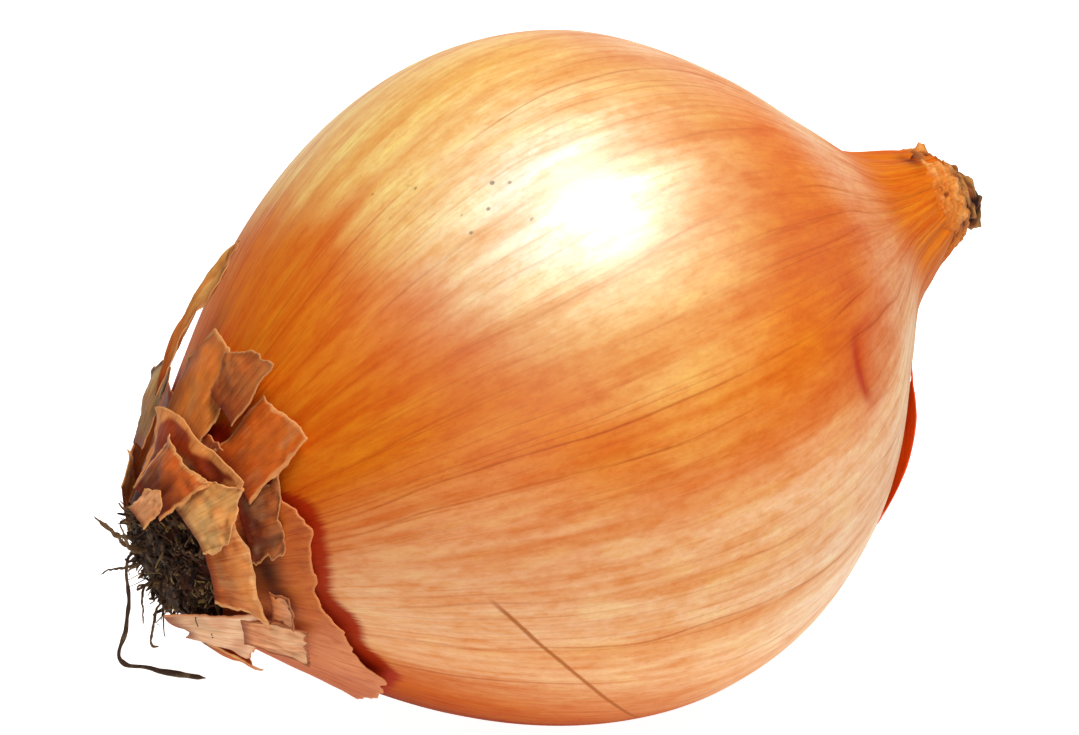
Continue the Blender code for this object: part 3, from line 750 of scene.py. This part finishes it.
def sheath(name, foot_radius, lip_radius, foot, lip_end, folds, tab_height, foot_colour, lip_colour, seed):
    """One crumpled leaf sheath: a tube whose radius is folded by noise and whose lip is torn.

    One tab of the lip stands out at longitude 128, where the neck's skin runs longest too.
    """
    share, longitude, u = ring_grid(np.linspace(0, 1, 44), 288)
    lip = lip_end + 0.7 * rough(u, 0 * u, folds, 1, seed, 3, True)
    x = foot + share * (lip - foot)
    crumple = smooth(0, 0.3, share) * ripples(
        u, share, (0.38, folds, 2, seed + 3), (0.34, 2 * folds, 7, seed + 4), (0.16, 4 * folds, 16, seed + 7))
    tab = tab_height * np.exp(-(turn_from(longitude, 128.0) / 5.0) ** 4) * smooth(0.75, 1.0, share)
    radius = foot_radius + share ** 1.6 * (lip_radius - foot_radius) + crumple + tab
    radius -= 0.4 * smooth(0.8, 1.0, share)
    points = axis_point(x) + radius[..., None] * outward(longitude)
    patch = 0.5 + 0.5 * noise(u, share, folds, 5, seed + 5, True)
    # Dark in the crumples' hollows, pale on their crests and dark red at the fold on top: painted shade and
    # painted light of the folds.
    ground = colour_field(foot_colour, (smooth(0.1, 0.7, share) * (0.4 + 0.6 * patch), lip_colour),
                          (0.85 * smooth(0.0, -0.5, crumple / 0.6), paint(124, 44, 8)),
                          (0.6 * smooth(0.2, 0.8, crumple / 0.6), paint(250, 184, 110)),
                          (0.9 * spot(x, longitude, 51.2, 108, 1.4, 14), paint(96, 18, 6)))
    piece = grid_mesh(name, points, skin_fields(x, longitude, ground, (1 - share) * 6.0), u, wrap=True)
    piece.data.materials.append(sheath_skin)
    thin(piece, 0.14)
    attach(piece, "root")
    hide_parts("neck_core")


def neck_knob():
    """The dead core: a blunt cone, radius (1 - s^3)^(1/2), lumped by noise and drooping to the front."""
    share, longitude, u = ring_grid(np.linspace(0, 1, 90)[:-1], 180)
    lumps = ripples(u, share, (0.9, 7, 5, 71), (0.7, 15, 10, 73), (0.4, 32, 22, 74))
    x = KNOB_FOOT + KNOB_LENGTH * share + ripples(u, share, (0.6, 8, 6, 75)) * share
    radius = KNOB_RADIUS * np.sqrt(1 - share ** 3) + (0.4 + 0.6 * np.sqrt(1 - share)) * lumps
    droop = (KNOB_DROOP * smooth(0.2, 1.0, share))[..., None] * outward(np.full_like(x, KNOB_DROOP_TOWARDS))
    points = axis_point(x) + np.maximum(radius, 0.12)[..., None] * outward(longitude) + droop
    # Pale on the lumps' tops and nearly black between them: painted light and painted shade.
    ground = colour_field(paint(122, 66, 28), (smooth(0.2, 0.9, lumps), paint(206, 148, 80)),
                          (smooth(0.1, -0.4, lumps), paint(34, 11, 6)),
                          (0.7 * smooth(0.2, 0.8, noise(u, share, 6, 5, 76, True)), paint(150, 116, 52)),
                          (0.7 * smooth(0.3, 0.8, noise(u, share, 7, 6, 77, True)), paint(176, 78, 28)))
    fields = skin_fields(x, longitude, ground, 0 * x + 5.0)
    piece = grid_mesh("neck_knob", points, fields, u, wrap=True, poles=True)
    piece.data.materials.append(sheath_skin)
    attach(piece, "root")
    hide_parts("neck_core")


sheath_skin = dry_finish("dry_leaf_sheath", 0.62, vein_count=60.0, vein_strength=0.5,
                         edge_colour=paint(150, 84, 34), bump_height=0.3)
for row in SHEATHS:
    sheath(*row)
neck_knob()


# ---------------------------------------------------------------------------------------------
# Root end: the hard plate that the roots grew from, with a mat of broken dark root stubs and
# hair-thin fibres on it, and a few loose roots that dried long. The longest hangs down and
# turns away at a sharp bend. All are stiff, matt, dark brown to straw coloured.
PLATE_FRONT, PLATE_BACK = -52.2, -50.9
PLATE_RADIUS = 6.2
ROOTS = [   # name, radius at the plate, radius at the tip, centres as (x, y, z)
    ("root_long", 0.15, 0.36,
     [(-53.4, 1.2, 39.8), (-55.0, 0.8, 39.8), (-55.6, 0.2, 39.0), (-56.4, -1.2, 36.4), (-57.8, -2.6, 33.0),
      (-59.3, -3.7, 29.9), (-59.0, -4.2, 29.5), (-57.6, -5.8, 29.7), (-55.4, -8.2, 29.9),
      (-52.6, -11.0, 30.0)]),
    ("root_upper", 0.30, 0.10,
     [(-53.4, 2.8, 40.2), (-54.9, 3.6, 40.8), (-55.4, 4.6, 41.5), (-56.4, 5.9, 42.6)]),
    ("root_crossing", 0.28, 0.10,
     [(-53.4, 0.3, 40.8), (-55.0, 0.9, 41.6), (-55.8, 2.0, 43.0), (-57.0, 3.4, 44.8)]),
    ("root_hooked", 0.16, 0.14,
     [(-53.4, -3.6, 36.8), (-54.9, -4.8, 36.0), (-56.0, -6.2, 35.6), (-56.8, -7.2, 35.4), (-56.9, -7.7, 34.8),
      (-56.2, -7.9, 34.4)]),
    ("root_fringe", 0.17, 0.08,
     [(-53.4, -1.6, 38.0), (-55.0, -2.3, 37.4), (-55.8, -3.4, 36.0), (-56.2, -4.2, 34.4)]),
    ("root_rear", 0.18, 0.08,
     [(-53.4, 1.8, 37.0), (-55.0, 2.6, 36.4), (-55.9, 4.4, 35.0), (-56.4, 6.4, 32.6)]),
    ("root_top", 0.28, 0.10,
     [(-53.4, -0.6, 41.6), (-54.9, -0.8, 42.4), (-55.5, -0.6, 44.2), (-55.6, 0.2, 46.2)])]


DUST_BROWN = (0.30, 0.19, 0.10, 1.0)
ROOT_PATCH_TINT = (0.4, 0.35, 0.35)


def root_finish(name):
    """Matt dried root: its own ground colour, dusted and fissured by noise on its place."""
    finish, tree, shader = new_finish(name, 0.85, Specular_IOR_Level=0.3)
    place = node(tree, "TexCoord").outputs["Object"]
    dust = node(tree, "TexNoise", {"Vector": place, "Scale": 900.0, "Detail": 3.0}).outputs["Fac"]
    patches = node(tree, "TexNoise", {"Vector": place, "Scale": 260.0, "Detail": 2.0}).outputs["Fac"]
    base = attribute(tree, "ground", "Color")
    base = mixed(tree, ranged(tree, dust, 0.48, 0.7, 0.0, 0.5), base, DUST_BROWN)
    base = tinted(tree, base, patches, 0.5, 0.7, 0.5, ROOT_PATCH_TINT)
    join(tree, shader, base, dust, strength=0.8, distance=0.2)
    return finish


def tubes(name, lines, radii, colours, sides):
    """Many tapered tubes in one mesh: lines (tube, station, 3), radii (tube, station), colours (tube, 3).

    Each ring is line + r (cos t side + sin t other), with side and other square to the line's run.
    """
    count, stations = radii.shape
    run = np.gradient(lines, axis=1)
    run /= np.linalg.norm(run, axis=-1, keepdims=True)
    side = np.cross(run, np.array([0.35, 0.55, 0.76]))
    side /= np.linalg.norm(side, axis=-1, keepdims=True)
    other = np.cross(run, side)
    turn = (np.arange(sides) * 2 * math.pi / sides)[None, None, :, None]
    round_line = np.cos(turn) * side[:, :, None] + np.sin(turn) * other[:, :, None]
    rings = lines[:, :, None] + radii[..., None, None] * round_line
    vertices = np.concatenate([rings.reshape(-1, 3), lines[:, 0], lines[:, -1]])
    index = np.arange(count * stations * sides).reshape(count, stations, sides)
    beside = np.roll(index, -1, axis=2)
    faces = np.stack([index[:, :-1], beside[:, :-1], beside[:, 1:], index[:, 1:]], -1).reshape(-1, 4).tolist()
    starts = np.repeat(count * stations * sides + np.arange(count)[:, None], sides, 1)
    faces += np.stack([starts, beside[:, 0], index[:, 0]], -1).reshape(-1, 3).tolist()
    faces += np.stack([starts + count, index[:, -1], beside[:, -1]], -1).reshape(-1, 3).tolist()
    tone = np.concatenate([np.repeat(colours, stations * sides, 0), colours, colours])
    tone = np.concatenate([tone, np.ones((len(tone), 1))], 1)
    mesh = bpy.data.meshes.new(name)
    mesh.from_pydata((vertices * MM).tolist(), [], faces)
    layer = mesh.attributes.new("ground", "FLOAT_COLOR", "POINT")
    layer.data.foreach_set("color", tone.ravel().astype(np.float32))
    mesh.materials.append(root_skin)
    mesh.shade_smooth()
    made = bpy.data.objects.new(name, mesh)
    bpy.context.scene.collection.objects.link(made)
    return made


def stub_lines(count, reach, length, stations, seed):
    """Centre lines of root stubs: each leaves the plate forwards and outwards, sags and wriggles.

    Stubs beyond the plate's own radius lie further back, on the skin round it, mostly at the front.
    """
    rng = np.random.default_rng(seed)
    radius = reach * np.sqrt(rng.uniform(0.02, 1, count))
    angle = np.where(radius > PLATE_RADIUS, rng.uniform(-25, 75, count), rng.uniform(0, 360, count))
    place = PLATE_FRONT + 0.9 * np.clip(radius - 5.6, 0, 9)
    start = axis_point(place) + radius[:, None] * outward(angle)
    lean = 0.5 + 0.9 * (radius / reach)
    way = np.array([-0.8, 0, 0]) + lean[:, None] * outward(angle + rng.uniform(-90, 90, count))
    way += rng.normal(0, 0.3, (count, 3))
    way /= np.linalg.norm(way, axis=1, keepdims=True)
    reach_out = length * rng.uniform(0.45, 1.25, count)
    t = np.linspace(0, 1, stations)[None, :, None]
    bend = rng.normal(0, 0.3, (count, 1, 3)) + np.array([0.2, 0, -0.1])
    wriggle = rng.normal(0, 0.12, (count, 1, 3)) * np.sin(t * rng.uniform(5, 11, (count, 1, 1)))
    return start[:, None] + reach_out[:, None, None] * (way[:, None] * t + bend * t ** 2 + wriggle * t)


def loose_root(name, start_radius, tip_radius, centres):
    """One long dried root along a smooth curve through its centres, its thickness knotted by noise."""
    centres = np.array(centres, float)
    run = np.concatenate([[0], np.cumsum(np.linalg.norm(np.diff(centres, axis=0), axis=1))])
    along = np.linspace(0, run[-1], 90)
    line = np.stack([hermite(along, run, centres[:, k]) for k in range(3)], -1)
    seed = len(name)
    kinks = np.stack([noise(along / run[-1], 0 * along, 14, 1, seed + k) for k in range(3)], -1)
    line = line + 0.10 * kinks * smooth(0, 2, along)[:, None]
    share = along / run[-1]
    radius = start_radius + share * (tip_radius - start_radius)
    radius *= (1 + 0.3 * noise(share, 0 * share, 22, 1, seed + 9))
    radius *= 0.25 + 0.75 * smooth(0, 0.04, 1 - share)
    colour = paint(70, 48, 34) if name == "root_long" else paint(96, 70, 42)
    piece = tubes(name, line[None], radius[None], colour[None], 10)
    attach(piece, "root")
    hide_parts(name)


def make_plate():
    """A domed lumpy disc, 0.9 (1 - share^2) proud of its rim, closed by a smaller ring behind."""
    share, longitude, u = ring_grid(np.linspace(0, 1, 26)[1:], 120)
    lumps = ripples(u, share, (0.5, 12, 4, 81), (0.3, 30, 10, 82))
    x = PLATE_FRONT - 0.9 * (1 - share ** 2) - 0.5 * lumps
    disc = axis_point(x) + (PLATE_RADIUS * share * (1 + 0.08 * lumps))[..., None] * outward(longitude)
    behind = axis_point(0 * x[-1:] + PLATE_BACK) + 4.8 * outward(longitude[-1:])
    x, longitude, u, lumps = (np.concatenate([field, field[-1:]]) for field in (x, longitude, u, lumps))
    # Paler on the lumps: painted light on their tops.
    ground = colour_field(paint(52, 34, 24), (smooth(0, 0.6, lumps), paint(86, 58, 38)))
    fields = skin_fields(x, longitude, ground, 0 * x + 5)
    plate = grid_mesh("root_plate_disc", np.concatenate([disc, behind]), fields, u, wrap=True, poles=True)
    plate.data.materials.append(root_skin)
    return plate


root_skin = root_finish("dry_root_fibre")
plate = make_plate()
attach(plate, "root")
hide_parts("root_plate")

STUB_COLOURS = np.array([paint(56, 34, 22), paint(80, 50, 32), paint(40, 25, 22), paint(120, 84, 50),
                         paint(158, 128, 76)])
TUFTS = [   # name, count, reach, length, radius, share of each colour, seed
    ("root_stubs", 380, 9.2, 1.8, 0.30, (0.30, 0.28, 0.22, 0.12, 0.08), 91),
    ("root_hairs", 130, 8.8, 2.6, 0.13, (0.20, 0.25, 0.15, 0.22, 0.18), 95)]
for name, count, reach, length, radius, odds, seed in TUFTS:
    rng = np.random.default_rng(seed + 1)
    stubs = stub_lines(count, reach, length, 9, seed)
    taper = radius * rng.uniform(0.6, 1.3, count)[:, None] * np.linspace(1, 0.35, 9)[None]
    tuft = tubes(name, stubs, taper, STUB_COLOURS[rng.choice(5, count, p=odds)], 6)
    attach(tuft, "root")
    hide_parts("root_tuft")
for row in ROOTS:
    loose_root(*row)


# ---------------------------------------------------------------------------------------------
# The collar: what is left of the outermost skin round the root end, still fixed at the plate.
# It is rust orange in front and peach below, with painted shade darker at its foot and lowest down, and its
# torn edge stands off the bulb and curls.
COLLAR_FOOT = -49.0


def make_collar():
    """A ring on the bulb from its foot to the torn edge; its height grows as share^1.5, plus wrinkles."""
    share, longitude, u = ring_grid(np.linspace(0, 1, 60), 600)
    edge, edge_lift = collar_edge(longitude)
    edge = edge + 0.35 * rough(u, 0 * u, 70, 1, 101, 3, True)
    x = COLLAR_FOOT + share * (edge - COLLAR_FOOT)
    wrinkles = ripples(u, share, (0.10, 46, 3, 104)) + share * ripples(u, share, (0.22, 30, 4, 105))
    wrinkles += smooth(0.85, 1, share) * ripples(u, 0 * u, (0.35, 40, 1, 106))
    lift = 0.25 + share ** 1.5 * (edge_lift + 0.15) + wrinkles
    points = on_skin(x, longitude, lift)
    high = turn_from(longitude, 45.0)
    peach = smooth(-30, -60, high) * smooth(-175, -130, high)
    # Dark spots where flakes meet the collar: partly dark bits of root, partly painted shade in the gaps.
    debris_and_shade = np.maximum(spot(x, longitude, -44.6, 25, 1.3, 14), spot(x, longitude, -43.8, 8, 0.9, 7))
    low = turn_from(longitude, -45.0)
    lower = smooth(34, 4, low) * smooth(-100, -60, low)
    blotch = 0.5 + 0.5 * noise(u, share, 40, 5, 107, True)
    under = smooth(-100, -116, high) * smooth(-170, -140, high) * smooth(0.3, 0.7, share)
    # Darker at its foot among the flakes and roots, darker orange on its lower side: painted shade.
    ground = colour_field(paint(206, 100, 34), (0.8 * peach, paint(232, 148, 100)),
                          (0.8 * smooth(0.45, 0.1, share), paint(130, 52, 18)),
                          (0.45 * blotch, paint(222, 126, 58)), (0.8 * under, paint(190, 84, 14)),
                          (0.7 * lower, paint(200, 92, 38)), (0.95 * debris_and_shade, paint(60, 24, 14)))
    fields = skin_fields(x, longitude, ground, (1 - share) * 9.0)
    collar = grid_mesh("skin_collar", points, fields, u, wrap=True)
    collar.data.materials.append(outer_skin)
    thin(collar, 0.15)
    return collar


outer_skin = dry_finish("outer_skin", 0.45, vein_count=110.0, vein_strength=0.55,
                        edge_colour=paint(232, 150, 92), bump_height=0.2)
collar = make_collar()
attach(collar, "root")
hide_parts("skin_collar")


# ---------------------------------------------------------------------------------------------
# The flakes: scraps of brittle outer skin that overlap round the root end like torn paper,
# each fixed at its root side and loose at its tip. Their corners are axial place, longitude
# and height above the bulb, in the order root left, root right, tip right, tip left.
# The third colour, deep red, is painted shadow at each flake's root side, under the flakes above.
TAN, RUST, TUCKED_SHADE = paint(222, 134, 62), paint(210, 96, 24), paint(128, 38, 6)
GREY, PALE, STRAW = paint(176, 134, 88), paint(244, 190, 146), paint(236, 172, 100)
EVEN = ((0, 0), (1, 0))       # a tip shape is points of share across and share of the length added
# name, four corners, rise of the middle, tip curl, side curl, folds, tear depth,
# root colour, tip colour, rim width, rim colour, tip shape, seed
FLAKES = [
    ("flake_pointed", (-45.5, 127, 1.2), (-44.9, 88, 1.2), (-38.6, 95, 0.9), (-38.2, 124, 1.0),
     0.3, 0.2, 0.3, 0.3, 0.03, paint(232, 136, 56), paint(222, 126, 50), 0.4, STRAW,
     ((0, -0.25), (0.13, -0.2), (0.2, 0.02), (0.3, 0.12), (0.75, 0.06), (1, -0.2)), 201),
    ("flake_diamond", (-44.2, 82, 1.2), (-43.6, 55, 1.2), (-37.0, 63, 0.9), (-38.2, 82, 0.9),
     0.4, 0.3, 0.4, 0.25, 0.03, RUST, paint(214, 104, 28), 0.5, paint(228, 148, 86), EVEN, 207),
    ("flake_dark", (-44.8, 61, 1.1), (-45.4, 30, 1.0), (-42.6, 34, 0.9), (-40.2, 58, 1.1),
     0.3, 0.2, 0.5, 0.4, 0.06, paint(100, 38, 16), paint(176, 96, 46), 0.3, paint(120, 52, 24),
     ((0, 0), (0.5, -0.15), (1, 0)), 213),
    ("flake_grey_brown", (-41.4, 97, 2.2), (-41.4, 80, 2.2), (-35.4, 83, 2.0), (-38.4, 101, 2.0),
     0.3, 0.4, 0.4, 0.3, 0.04, paint(160, 78, 30), paint(196, 112, 52), 0.3, paint(150, 84, 44),
     ((0, 0), (0.5, 0.06), (1, 0)), 219),
    ("flake_low", (-48.4, 50, 2.3), (-48.9, 12, 2.2), (-45.2, 5, 1.9), (-44.8, 51, 2.2),
     0.5, 0.3, 0.3, 0.45, 0.05, paint(196, 96, 28), paint(226, 142, 72), 0.6, paint(232, 164, 102),
     ((0, -0.1), (0.3, 0.05), (0.7, 0), (1, 0.15)), 225),
    ("flake_grey", (-47.4, 147, 2.4), (-48.0, 115, 2.3), (-41.2, 117, 2.4), (-41.6, 142, 3.0),
     0.5, 0.5, 0.7, 0.4, 0.07, paint(160, 112, 66), paint(196, 156, 104), 0.5, paint(86, 40, 22), EVEN, 231),
    ("lip_pale", (-51.0, 7, 1.8), (-50.6, -46, 1.6), (-45.8, -44, 1.4), (-46.0, 1, 1.6),
     0.5, 0.2, 0.3, 0.25, 0.04, PALE, paint(248, 198, 156), 0.3, paint(226, 160, 116), EVEN, 237),
    ("strip_pale", (-47.2, 1, 2.0), (-46.8, -17, 2.0), (-41.6, -17, 1.8), (-42.0, 2, 1.8),
     0.3, 0.3, 0.4, 0.3, 0.06, paint(240, 164, 112), paint(244, 184, 136), 0.35, paint(120, 44, 16), EVEN,
     243),
    ("flake_curl", (-44.6, 17, 1.8), (-44.6, 4, 1.8), (-42.6, 5, 2.1), (-42.9, 16, 2.1),
     0.2, 0.6, 0.7, 0.1, 0.05, paint(232, 140, 80), paint(240, 166, 116), 0.45, paint(112, 40, 14), EVEN,
     249),
    # Its dark red body is painted shadow under the inner hood flake; the pale rim is its curled tip.
    ("flake_hood", (-50.4, 105, 3.0), (-47.4, 61, 3.0), (-41.9, 59, 3.2), (-44.4, 113, 3.3),
     0.5, 0.9, 0.7, 0.4, 0.03, paint(116, 30, 4), paint(160, 56, 10), 1.5, paint(238, 150, 76),
     ((0, 0), (0.3, 0.0), (0.6, -0.12), (1, 0)), 255),
    ("flake_folded", (-48.6, 71, 4.0), (-47.6, 42, 4.0), (-44.4, 46, 4.4), (-43.4, 68, 4.6),
     0.8, 0.4, 0.8, 0.7, 0.06, paint(244, 184, 110), paint(226, 154, 82), 0.3, paint(240, 180, 120),
     ((0, -0.1), (0.25, 0.1), (0.42, 0.42), (0.6, 0.2), (1, -0.05)), 261),
    ("flake_hood_inner", (-50.4, 96, 4.1), (-49.8, 67, 4.1), (-44.8, 66, 4.3), (-45.4, 95, 4.2),
     0.6, 0.3, 0.5, 0.6, 0.04, paint(110, 40, 12), paint(208, 100, 34), 0.5, paint(220, 146, 82),
     ((0, 0.08), (0.5, -0.1), (1, 0)), 267),
    ("flake_tan_small", (-51.4, 86, 5.1), (-51.0, 68, 5.1), (-48.0, 69, 5.3), (-48.6, 83, 5.3),
     0.3, 0.3, 0.5, 0.2, 0.05, paint(240, 160, 104), paint(244, 168, 112), 0.2, STRAW,
     ((0, -0.2), (0.5, 0.05), (1, -0.2)), 273),
    ("strip_curled", (-43.8, 119, 4.0), (-43.8, 112, 4.0), (-31.6, 113, 4.0), (-32.2, 118.5, 4.0),
     1.2, -0.6, 0.8, 0.7, 0.12, paint(176, 84, 24), paint(196, 140, 70), 0.35, paint(96, 44, 18), EVEN, 279),
    ("flake_rear_high", (-47.6, 185, 1.6), (-47.6, 155, 1.6), (-41.0, 157, 1.6), (-39.8, 180, 1.6),
     0.4, 0.4, 0.4, 0.3, 0.05, paint(206, 112, 44), TAN, 0.5, STRAW, EVEN, 285),
    ("flake_rear_mid", (-48.4, 227, 2.0), (-48.4, 189, 1.8), (-39.8, 196, 1.8), (-41.4, 223, 2.0),
     0.5, 0.3, 0.5, 0.35, 0.06, RUST, paint(206, 112, 44), 0.5, paint(228, 148, 86),
     ((0, 0), (0.4, 0.1), (0.6, -0.1), (1, 0)), 291),
    ("flake_rear_tan", (-49.6, 213, 2.6), (-49.6, 171, 1.6), (-45.0, 175, 2.0), (-43.8, 206, 2.8),
     0.4, 0.5, 0.5, 0.4, 0.05, paint(206, 132, 70), STRAW, 0.5, paint(240, 190, 130),
     ((0, 0), (0.5, 0.12), (1, -0.1)), 297),
    ("flake_rear_low", (-48.2, 269, 2.2), (-48.2, 231, 2.2), (-41.8, 235, 2.2), (-40.6, 263, 2.2),
     0.5, 0.4, 0.4, 0.35, 0.05, paint(170, 92, 40), TAN, 0.5, STRAW, ((0, -0.1), (0.3, 0.1), (1, 0)), 303),
    ("flake_under", (-48.6, 307, 2.2), (-48.6, 273, 2.2), (-42.0, 275, 2.4), (-42.8, 301, 2.4),
     0.4, 0.3, 0.5, 0.3, 0.06, paint(196, 92, 30), paint(216, 122, 54), 0.5, STRAW, EVEN, 309)]
LIP_REACH = 3.4               # how far the pale lip's root edge stands out past the root end
PALE_NODES = ("lip_pale", "strip_pale", "flake_curl")
FLAKE_ROWS, FLAKE_COLUMNS = 56, 64


def spread(corners, across, length):
    """Places between four corners, blended bilinearly: axial place, longitude and height."""
    root_left, root_right, tip_right, tip_left = np.array(corners, float)
    s, t = across[..., None], length[..., None]
    return (1 - t) * ((1 - s) * root_left + s * root_right) + t * ((1 - s) * tip_left + s * tip_right)


def scrap(name, points, place, ground, edge, finish, thickness):
    """Thin sheet from a grid on the bulb, its columns reversed so that its faces point outwards."""
    fields = skin_fields(place[..., 0], place[..., 1], ground, edge)
    fields = {key: value[:, ::-1] for key, value in fields.items()}
    piece = grid_mesh(name, points[:, ::-1], fields, (place[:, ::-1, 1] + 90.0) / 360.0)
    piece.data.materials.append(finish)
    return thin(piece, thickness)


def flake(name, root_left, root_right, tip_right, tip_left, middle, tip_curl, side_curl, folds, tear,
          root_colour, tip_colour, rim, rim_colour, tip_shape, seed):
    """A scrap of skin between four corners, its edges torn by noise, raised by an arch, curls and folds."""
    v, u = np.meshgrid(np.linspace(0, 1, FLAKE_ROWS), np.linspace(0, 1, FLAKE_COLUMNS), indexing="ij")
    torn_left, torn_right = (tear * rough(v, 0 * v, 4, 1, seed + side, 4) for side in (0, 10))
    torn_tip = tear * rough(u, 0 * u, 4, 1, seed + 20, 4) + np.interp(u, *np.array(tip_shape, float).T)
    across = u + (1 - u) ** 3 * torn_left + u ** 3 * torn_right
    length = v + v ** 2 * torn_tip
    place = spread((root_left, root_right, tip_right, tip_left), across, length)
    crumple = noise(across, length, 5, 3, seed + 30) + 0.5 * noise(across, length, 11, 7, seed + 31)
    lift = place[..., 2] + middle * np.sin(math.pi * u) * np.sin(math.pi * v) + tip_curl * v ** 4
    lift += side_curl * (u ** 6 - 0.4 * (1 - u) ** 6)
    lift += folds * crumple * (0.3 + 0.7 * v)
    points = on_skin(place[..., 0], place[..., 1], lift)
    if name == "lip_pale":
        points[..., 0] -= LIP_REACH * (1 - v) ** 2 * (1 - 0.8 * smooth(0, 0.7, u))
    width = np.linalg.norm(points[FLAKE_ROWS // 2, 0] - points[FLAKE_ROWS // 2, -1])
    height = np.linalg.norm(points[0, FLAKE_COLUMNS // 2] - points[-1, FLAKE_COLUMNS // 2])
    edge = np.minimum(np.minimum(u, 1 - u) * width, (1 - v) * height)
    blotch = 0.5 + 0.5 * noise(across, length, 5, 4, seed + 40)
    inner = edge + 0.5 * rim * noise(across, length, 9, 7, seed + 41)
    # Darker in the crumples' hollows and deep red at the root side: painted shade and painted shadow.
    ground = colour_field(
        root_colour, (smooth(0.1, 0.9, v), tip_colour), (0.35 * smooth(0.6, 1, blotch), GREY),
        (0.35 * smooth(0.45, 0, blotch), paint(190, 80, 16)),
        (0.5 * smooth(0.0, -0.9, crumple), root_colour * 0.6), (0.75 * smooth(0.2, 0.0, v), TUCKED_SHADE),
        (smooth(rim, 0.5 * rim, inner), rim_colour))
    pale = name in PALE_NODES
    piece = scrap(name, points, place, ground, edge, pale_skin if pale else flake_skin, 0.13)
    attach(piece, "root")
    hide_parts(name)


flake_skin = dry_finish("dry_flake", 0.55, vein_count=130.0, vein_strength=0.5,
                        edge_colour=paint(232, 160, 96), bump_height=0.25)
pale_skin = dry_finish("pale_inner_skin", 0.5, vein_count=110.0, vein_strength=0.2,
                       edge_colour=paint(214, 130, 78), bump_height=0.15)
for row in FLAKES:
    flake(*row)


# ---------------------------------------------------------------------------------------------
# The flap: a loose piece of the outermost skin at the right of the bulb, red orange, still
# fixed low on the neck side; its long free edge stands off the bulb.
FLAP_CORNERS = ((22.0, -11, 0.2), (25.5, -39, 0.2), (35.5, -35, 0.2), (35.0, 2, 0.1))


def make_flap():
    """A sheet on the bulb between four corners, its free edge lifted as sin(pi v) (1 - u)^1.5."""
    v, u = np.meshgrid(np.linspace(0, 1, 90), np.linspace(0, 1, 90), indexing="ij")
    across = u + (1 - u) ** 3 * 0.07 * rough(v, 0 * v, 5, 1, 401, 4)
    length = v + v ** 4 * 0.05 * rough(u, 0 * u, 4, 1, 405, 4)
    place = spread(FLAP_CORNERS, across, length)
    lift = place[..., 2] + 1.3 * np.sin(math.pi * v) * (1 - u) ** 1.5 + 0.2 * noise(u, v, 5, 4, 411)
    edge = np.minimum(np.minimum(u, 1 - u) * 20, np.minimum(v, 1 - v) * 16)
    ground = colour_field(paint(210, 60, 6), (0.5 + 0.5 * noise(u, v, 6, 5, 413), paint(216, 88, 14)),
                          (smooth(0.6, 1.0, u), paint(220, 122, 66)))
    points = on_skin(place[..., 0], place[..., 1], lift)
    return scrap("skin_flap", points, place, ground, edge, flap_skin, 0.15)


# Its own colour also feeds a weak emission: painted light that stands in for the light passing through this
# one thin sheet.
flap_skin = dry_finish("flap_skin", 0.45, vein_count=110.0, vein_strength=0.4,
                       edge_colour=paint(214, 60, 10), bump_height=0.2)
flap_shader = flap_skin.node_tree.nodes["Principled BSDF"]
flap_colour = flap_shader.inputs["Base Color"].links[0].from_socket
flap_skin.node_tree.links.new(flap_colour, flap_shader.inputs["Emission Color"])
flap_shader.inputs["Emission Strength"].default_value = 0.22
flap = make_flap()
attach(flap, "root")
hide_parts("skin_flap")
